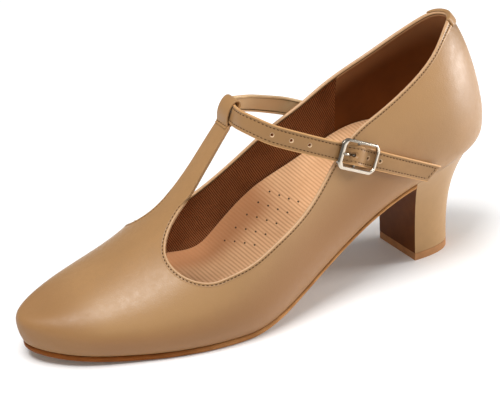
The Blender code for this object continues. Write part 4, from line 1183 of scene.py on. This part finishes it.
class SHOE_OT_strap(bpy.types.Operator):
    """Ankle strap with folded edges, stitches and punched holes"""

    bl_idname = "shoe.strap"
    bl_label = "Ankle strap"

    def execute(self, context):
        path = STRAP_PATH
        first, last = path.buckle - STRAP_FINE, path.buckle + STRAP_FINE
        s = np.concatenate([np.linspace(0, first, 190)[:-1], np.linspace(first, last, 60),
                            np.linspace(last, path.length, 50)[1:]])
        profile, outside = strap_profile()
        across, out = profile.T
        slant = STRAP_CUT * np.clip(1 - (path.length - s) / CUT_REACH, 0, 1)
        at = s[:, None] + slant[:, None] * (across / STRAP_W - 0.5)
        end = np.minimum(1, np.minimum(s, path.length - s) / END_ROUND)[:, None] ** 0.5
        grid = path.point(at, across[None], out * (END_THIN + (1 - END_THIN) * end))
        uv = np.zeros((len(s) + 2, len(profile), 2))
        uv[1:-1, :, 0] = s[:, None] / path.length + 2.0 * (np.arange(len(profile)) >= outside)
        uv[..., 1] = across / STRAP_W + 0.5
        piece = Piece()
        piece.add(capped(grid), wrap=True, uv=uv)
        # Strap leather with painted highlights along its edges and painted light on its inner face
        tan = leather("strap_leather", shade(colour(context, "tan"), 0.95), 0.44, painted_edge_highlight=0.075)
        strap = piece.build("ankle_strap_leather", [tan], sharp=62, outward=True)
        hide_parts("ankle_strap")

        raw, plain = rubber("cut_leather", colour(context, "cut")), bpy.data.materials["fold_leather"]
        tools = [punch(f"hole_{k + 1}", (v,), raw) for k, v in enumerate(HOLES)]
        tools.append(punch("prong_slot", PRONG_SLOT, plain))
        for tool in tools:
            cut = strap.modifiers.new(tool.name, "BOOLEAN")
            cut.object, cut.operation, cut.solver = tool, "DIFFERENCE", "EXACT"
            cut.material_mode = "TRANSFER"
        view = bpy.context.evaluated_depsgraph_get()
        cut_mesh = bpy.data.meshes.new_from_object(strap.evaluated_get(view))
        strap.modifiers.clear()
        strap.data = cut_mesh
        for tool in tools:
            bpy.data.objects.remove(tool)

        wax = bpy.data.materials["thread"]
        pitch, inset = size(context, "strap_pitch"), STRAP_W / 2 - size(context, "strap_inset")
        spots = np.arange(STITCH_START, path.length, pitch)
        spots = spots[np.abs(spots - path.fold) > FOLD_CLEAR]
        piece = Piece()
        for across, short in ((-inset, STRAP_CUT), (inset, 0.0)):
            row = spots[spots < path.length - short - STITCH_STOP]
            piece.copies(*pill(*STRAP_STITCH), path.point(row, across, STRAP_STITCH_Z), path.frame(row))
        across = np.linspace(CROSS_INSET - inset, inset - CROSS_INSET, 3)
        for place, lean in ((STITCH_STOP, 0.0), (path.length - STITCH_START, STRAP_CUT / STRAP_W)):
            at = place + lean * (across - STRAP_W / 2)
            a, u, n = path.frame(at)
            piece.copies(*pill(*CROSS_STITCH), path.point(at, across, CROSS_STITCH_Z), [u, -a, n])
        piece.build("strap_stitches", [wax], outward=True)
        return {"FINISHED"}


def buckle_axes():
    """Middle of the line that joins the strap under both end bars, and along, across, out there."""
    path = STRAP_PATH
    reach = BUCKLE_L / 2 - BUCKLE_BAR_R
    front, back = path.middle(path.buckle + np.array([-reach, reach]))
    along = unit(back - front)
    out = path.frame(path.buckle + np.array([-reach, reach]))[2].mean(0)
    out = unit(out - along * (along @ out))
    return (front + back) / 2, np.stack([along, np.cross(out, along), out])


def octagon(half_l, half_w, cut, bend=0.7, steps=5):
    """Evenly rounded octagon: points and outward directions in the buckle's plane."""
    corners = np.array([(half_l, half_w - cut), (half_l - cut, half_w), (-half_l + cut, half_w),
                        (-half_l, half_w - cut), (-half_l, -half_w + cut), (-half_l + cut, -half_w),
                        (half_l - cut, -half_w), (half_l, -half_w + cut)])
    before, after = unit(np.roll(corners, 1, 0) - corners), unit(np.roll(corners, -1, 0) - corners)
    t = np.linspace(0, 1, steps)[None, :, None]
    a, b = corners[:, None] + bend * before[:, None], corners[:, None] + bend * after[:, None]
    line = ((1 - t) ** 2 * a + 2 * t * (1 - t) * corners[:, None] + t**2 * b).reshape(-1, 2)
    tangent = unit(np.roll(line, -1, 0) - np.roll(line, 1, 0))
    return line, np.stack([tangent[:, 1], -tangent[:, 0]], 1)


def bent_wire(piece, middle, axes, line, side, profile):
    """Adds a profile carried along a bent line, which is given in the buckle's directions like its side."""
    side = np.broadcast_to(side, line.shape)
    tangent = unit(np.gradient(line, axis=0))
    piece.swept(middle + line @ axes, side @ axes, np.cross(tangent, side) @ axes, profile)


class SHOE_OT_buckle(bpy.types.Operator):
    """Buckle frame with its centre bar, and its prong"""

    bl_idname = "shoe.buckle"
    bl_label = "Buckle"

    def execute(self, context):
        middle, axes = buckle_axes()
        plate = metal("pale_gold_metal", colour(context, "metal"))
        lift = STRAP_T / 2 + BUCKLE_CLEAR + BUCKLE_BAR_R
        half_l, half_w = BUCKLE_L / 2, BUCKLE_W / 2
        line, outward = octagon(half_l - BUCKLE_BAR_R, half_w - BUCKLE_BAR_R, BUCKLE_CORNER)
        wide = BUCKLE_BAR_R + FRONT_WIDER * smoothstep(3.5 - half_l, 1.4 - half_l, line[:, 0])
        wide -= RAIL_SLIMMER * smoothstep(half_w - 2.2, half_w - 1.1, line[:, 1])
        shape = np.array(BAR_SECTION)
        across = shape[None, :, 0] * np.where(shape[:, 0] < 0, wide[:, None] / BUCKLE_BAR_R, 1.0)
        flat = line[:, None] + outward[:, None] * across[..., None]
        high = np.broadcast_to(lift + shape[:, 1], flat.shape[:2])
        ringed = np.concatenate([flat, high[..., None]], -1)
        ringed = np.concatenate([ringed, ringed[:1]])
        uv = ringed[..., :2] / (BUCKLE_L, BUCKLE_W) + 0.5
        piece = Piece()
        piece.add(middle + ringed @ axes, wrap=True, uv=uv)
        half_w -= BUCKLE_BAR_R
        leg = [(0, half_w, lift), (0, half_w, 0.2), (0, half_w - 0.3, STAPLE_Z)]
        staple = np.array(leg + [(0, 0, STAPLE_Z)] + [(0, -y, z) for _, y, z in leg[::-1]])
        turn = np.arange(12) * math.pi / 6
        circle = np.stack([np.cos(turn), np.sin(turn)], 1)
        bent_wire(piece, middle, axes, staple, (1.0, 0, 0), STAPLE_R * circle)
        ring_piece = piece.build("buckle_ring", [plate], sharp=28, outward=True)
        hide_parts("buckle_frame")

        hook, rest = PRONG_HOOK, lift + BAR_TOP + PRONG_HALF_T
        rows = np.array([(hook, -0.3), (hook * 0.8, 0.71), (0, 1.25), (-hook * 0.8, 0.9), (-3.0, 0.60),
                         (-4.3, 1.35), (-5.6, 2.30), (-6.9, rest - 0.25), (-8.2, rest - 0.02), (-9.3, rest)])
        bend, s = curve(rows, 60)
        x, z = bend.T
        track = np.stack([x, 0 * x, z], 1)
        taper = np.sqrt(np.clip((s[-1] - s) / PRONG_TIP, 0.02, 1))
        profile = circle * (PRONG_HALF_W, PRONG_HALF_T) * taper[:, None, None]
        piece = Piece()
        bent_wire(piece, middle, axes, track, (0, 1.0, 0), profile)
        prong = piece.build("buckle_tongue", [plate], sharp=60, outward=True)
        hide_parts("buckle_prong")
        return {"FINISHED"}


def breast_share(side):
    """Share at which a side's feather line crosses the heel's front."""
    share = np.linspace(0.1, 0.4, 301)
    return float(np.interp(-X_BREAST, -edge(share, side)[:, 0], share))


def heel_rings(count=81):
    """Base and seat of the heel in plan: from the outer front corner round the back and along the front."""
    turn = np.linspace(-math.pi / 2, math.pi / 2, count)
    power = 2 / HEEL_ROUND
    base = np.stack([HEEL_FRONT_X + HEEL_DEPTH * np.cos(turn).clip(0) ** power,
                     HEEL_HALF_W * np.sign(np.sin(turn)) * abs(np.sin(turn)) ** power], 1)
    half = count // 2
    outer = edge(np.linspace(breast_share(OUTER), 0, half + 1), OUTER)
    inner = edge(np.linspace(0, breast_share(INNER), half + 1), INNER)[1:]
    seat = np.concatenate([outer, inner])
    t = np.linspace(0, 1, 26)[1:-1, None]
    return (np.concatenate([base, base[-1] + (base[0] - base[-1]) * t]),
            np.concatenate([seat, seat[-1] + (seat[0] - seat[-1]) * t]), count)


def close_ends(piece, grid, count):
    """Fills the first and the last ring of the heel or its lift: straight rows join their two sides."""
    half = count // 2
    for k in (0, -1):
        piece.add(ruled(grid[k][:half + 1], grid[k][half:count][::-1], 9), flip=k == -1)


class SHOE_OT_heel(bpy.types.Operator):
    """Leather-covered heel and its top lift"""

    bl_idname = "shoe.heel"
    bl_label = "Heel"

    def execute(self, context):
        base, seat, count = heel_rings()
        piece = Piece()
        t = np.linspace(0, 1, 41)[:, None]
        plan = base[None] + (seat - base)[None] * (t**HEEL_FLARE)[..., None]
        z = LIFT_T + (feather_z(seat[:, 0]) + SEAT_LAP - LIFT_T) * t
        grid = np.concatenate([plan, z[..., None]], -1)
        piece.add(grid[:, :count])
        piece.add(np.concatenate([grid[:, count - 1:], grid[:, :1]], 1), finish=1)
        close_ends(piece, grid, count)
        # Painted light: the heel cover is the upper's tan painted paler, as if more brightly lit
        tan = leather("heel_leather", tint(colour(context, "tan"), 1.10, 1.16, 1.20), 0.38)
        # The heel's front gets a much darker brown than its tan sides
        brown = rubber("breast_leather", colour(context, "breast"))
        heel = piece.build("heel_cover", [tan, brown], sharp=50, outward=True)
        soften(heel, 0.7, 3)
        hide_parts("heel")

        piece = Piece()
        grid = np.stack([np.column_stack([base, np.full(len(base), z)]) for z in (0.0, LIFT_T - LIFT_GAP)])
        piece.add(grid, wrap=True)
        close_ends(piece, grid, count)
        lift = piece.build("heel_lift", [rubber("lift_rubber", colour(context, "lift"))],
                           sharp=40, outward=True)
        soften(lift, 0.3, 2)
        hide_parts("top_lift")
        return {"FINISHED"}


def bed_points(share, across):
    """Single points of the insole's upper face."""
    return np.stack([footbed(np.array([s]), np.array([t]))[0, 0] for s, t in zip(share, across)])


class SHOE_OT_sole(bpy.types.Operator):
    """Leather outsole with a stained edge, and the ribbed sock on the insole with its perforations"""

    bl_idname = "shoe.sole"
    bl_label = "Sole and insole"

    def execute(self, context):
        waist = 0.5 * (breast_share(OUTER) + breast_share(INNER))
        share = np.linspace(waist, 1, 120)
        loops = []
        for inset, drop in SOLE_EDGE:
            sides = [inset_edge(share, side, inset) for side in (OUTER, INNER)]
            for line in sides:
                line[0, 0] = X_BREAST - SEAM_GAP - min(inset, 0.5)
            sides[1][-1] = sides[0][-1]
            loop = np.concatenate([sides[0], sides[1][-2::-1]])
            top, low = sole_top(loop[:, 0]), under_face(loop[:, 0])
            loops.append(np.column_stack([loop, top + (low - top) * drop / SOLE_T_TREAD]))
        grid = np.stack(loops)
        tread = (np.arange(len(grid)) == len(grid) - 1)[:, None] * 1.0
        piece = Piece()
        piece.add(grid, wrap=True, uv=uv_grid(grid, v=tread))
        n = len(share)
        for k, face in ((0, sole_top), (-1, under_face)):
            fill = ruled(grid[k][:n], grid[k][n - 1:][::-1], 33)
            fill[..., 2] = face(fill[..., 0])
            piece.add(fill, flip=k == 0, uv=uv_grid(fill, v=1.0))
        stain = sole_finish("sole_leather", colour(context, "sole"), colour(context, "tread"))
        sole = piece.build("leather_sole", [stain], sharp=60, outward=True)
        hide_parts("outsole")

        piece = Piece()
        rim = np.linspace(0.95, 1, 6)[1:]
        t = np.concatenate([-rim[::-1], np.linspace(-0.95, 0.95, 61), rim])
        share = np.linspace(0, 1, 200)
        bed = footbed(share, t)
        piece.add(bed, flip=True, uv=uv_grid(bed, share[:, None], (t + 1) / 2))
        ribs = ribbed_cloth("ribbed_sock", colour(context, "sock"), colour(context, "sock_dark"))
        sock = piece.build("insole_sock", [ribs])
        thicken(sock, SOCK_T)
        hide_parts("insole")

        column, place = (v.ravel() for v in np.meshgrid(*map(np.arange, PUNCHED), indexing="ij"))
        share, across = (start + aside * column + along * place
                         for start, aside, along in zip(PUNCHED_AT, PUNCHED_COLUMN, PUNCHED_ALONG))
        step = 0.002
        q = bed_points(share, across)
        ahead, aside = bed_points(share + step, across) - q, bed_points(share, across + step) - q
        ahead, up = unit(ahead), unit(np.cross(ahead, aside))
        up = up * np.sign(up[:, 2:])
        piece = Piece()
        axes = [ahead, np.cross(up, ahead), up]
        piece.copies(*pill(PUNCHED_D, PUNCHED_D, PUNCHED_T), q + PUNCHED_Z * up, axes)
        # Painted shade: the perforations are dark discs laid on the sock
        dark = rubber("sock_hole", shade(colour(context, "sock_dark"), 0.12))
        piece.build("sock_holes", [dark], outward=True)
        return {"FINISHED"}


class SHOE_OT_stage(bpy.types.Operator):
    """Pale floor, soft studio light and the camera"""

    bl_idname = "shoe.stage"
    bl_label = "Stage"

    def execute(self, context):
        scene = context.scene
        scene.view_settings.view_transform = "Standard"
        mesh = bpy.data.meshes.new("floor")
        corners = [(-1, -1), (1, -1), (1, 1), (-1, 1)]
        mesh.from_pydata([(x * FLOOR_HALF, y * FLOOR_HALF, 0) for x, y in corners], [], [(0, 1, 2, 3)])
        pale = Finish("pale_floor", {"Roughness": 0.6, "Specular IOR Level": 0.2, "Emission Strength": 1.0})
        x, y, _ = pale.parts(pale.place())
        # Painted light: the floor's glow grows away from the shoe
        away = x.between(*FLOOR_AWAY_X).math("MAXIMUM", y.between(*FLOOR_AWAY_Y))
        glow = pale.mix(away, *(shade(FLOOR_WHITE, v) for v in FLOOR_GLOW))
        mesh.materials.append(pale.put({"Base Color": FLOOR_WHITE, "Emission Color": glow}))
        link("floor", mesh)

        world = bpy.data.worlds.new("studio")
        scene.world = world
        world.use_nodes = True
        sky = world.node_tree.nodes["Background"].inputs
        sky[0].default_value, sky[1].default_value = (1.0, 1.0, 1.0, 1.0), WORLD_STRENGTH
        for name, place, width, power in LAMPS:
            lamp = bpy.data.lights.new(name, "AREA")
            lamp.energy, lamp.size = power, width
            obj = link(name, lamp)
            obj.location = place
            aim = LAMP_AIM - place
            obj.rotation_euler = (math.acos(-unit(aim)[2]), 0.0, math.atan2(-aim[0], aim[1]))

        c, s = math.cos(VIEW_TURN), math.sin(VIEW_TURN)
        back = np.array([s * math.cos(VIEW_HEIGHT), -c * math.cos(VIEW_HEIGHT), math.sin(VIEW_HEIGHT)])
        right = np.array([c, s, 0.0])
        up = np.cross(back, right)
        c, s = math.cos(VIEW_ROLL), math.sin(VIEW_ROLL)
        right, up = right * c + up * s, up * c - right * s
        lens = bpy.data.cameras.new("camera")
        lens.sensor_width, lens.lens = SENSOR, VIEW_FOCAL * SENSOR / VIEW_WIDTH
        lens.shift_x, lens.shift_y = -VIEW_SHIFT[0] / VIEW_WIDTH, VIEW_SHIFT[1] / VIEW_WIDTH
        lens.clip_start, lens.clip_end = 0.01, 50.0
        camera = link("camera", lens)
        place = metres(VIEW_TARGET + back * VIEW_DISTANCE)
        turned = np.stack([right, up, back, place], 1).tolist() + [[0.0, 0.0, 0.0, 1.0]]
        camera.matrix_world = Matrix(turned)
        scene.camera = camera
        return {"FINISHED"}


OPERATORS = (SHOE_OT_upper, SHOE_OT_topline, SHOE_OT_tbar_fold, SHOE_OT_strap, SHOE_OT_buckle, SHOE_OT_heel,
             SHOE_OT_sole, SHOE_OT_stage)


class SHOE_PT_panel(bpy.types.Panel):
    """Lists the shoe's pieces"""

    bl_idname = "SHOE_PT_panel"
    bl_label = "Latin dance shoe"
    bl_space_type = "VIEW_3D"
    bl_region_type = "UI"
    bl_category = "Shoe"

    def draw(self, context):
        for operator in OPERATORS:
            self.layout.operator(operator.bl_idname)


CLASSES = (ShoeColours, ShoeSizes) + OPERATORS + (SHOE_PT_panel,)


def register():
    for cls in CLASSES:
        bpy.utils.register_class(cls)
    bpy.types.Scene.shoe_colours = bpy.props.PointerProperty(type=ShoeColours)
    bpy.types.Scene.shoe_sizes = bpy.props.PointerProperty(type=ShoeSizes)


def unregister():
    del bpy.types.Scene.shoe_sizes, bpy.types.Scene.shoe_colours
    for cls in reversed(CLASSES):
        bpy.utils.unregister_class(cls)


def main():
    register()
    for step in (bpy.ops.shoe.upper, bpy.ops.shoe.topline, bpy.ops.shoe.tbar_fold, bpy.ops.shoe.strap,
                 bpy.ops.shoe.buckle, bpy.ops.shoe.heel, bpy.ops.shoe.sole, bpy.ops.shoe.stage):
        step()


if __name__ == "__main__":
    main()
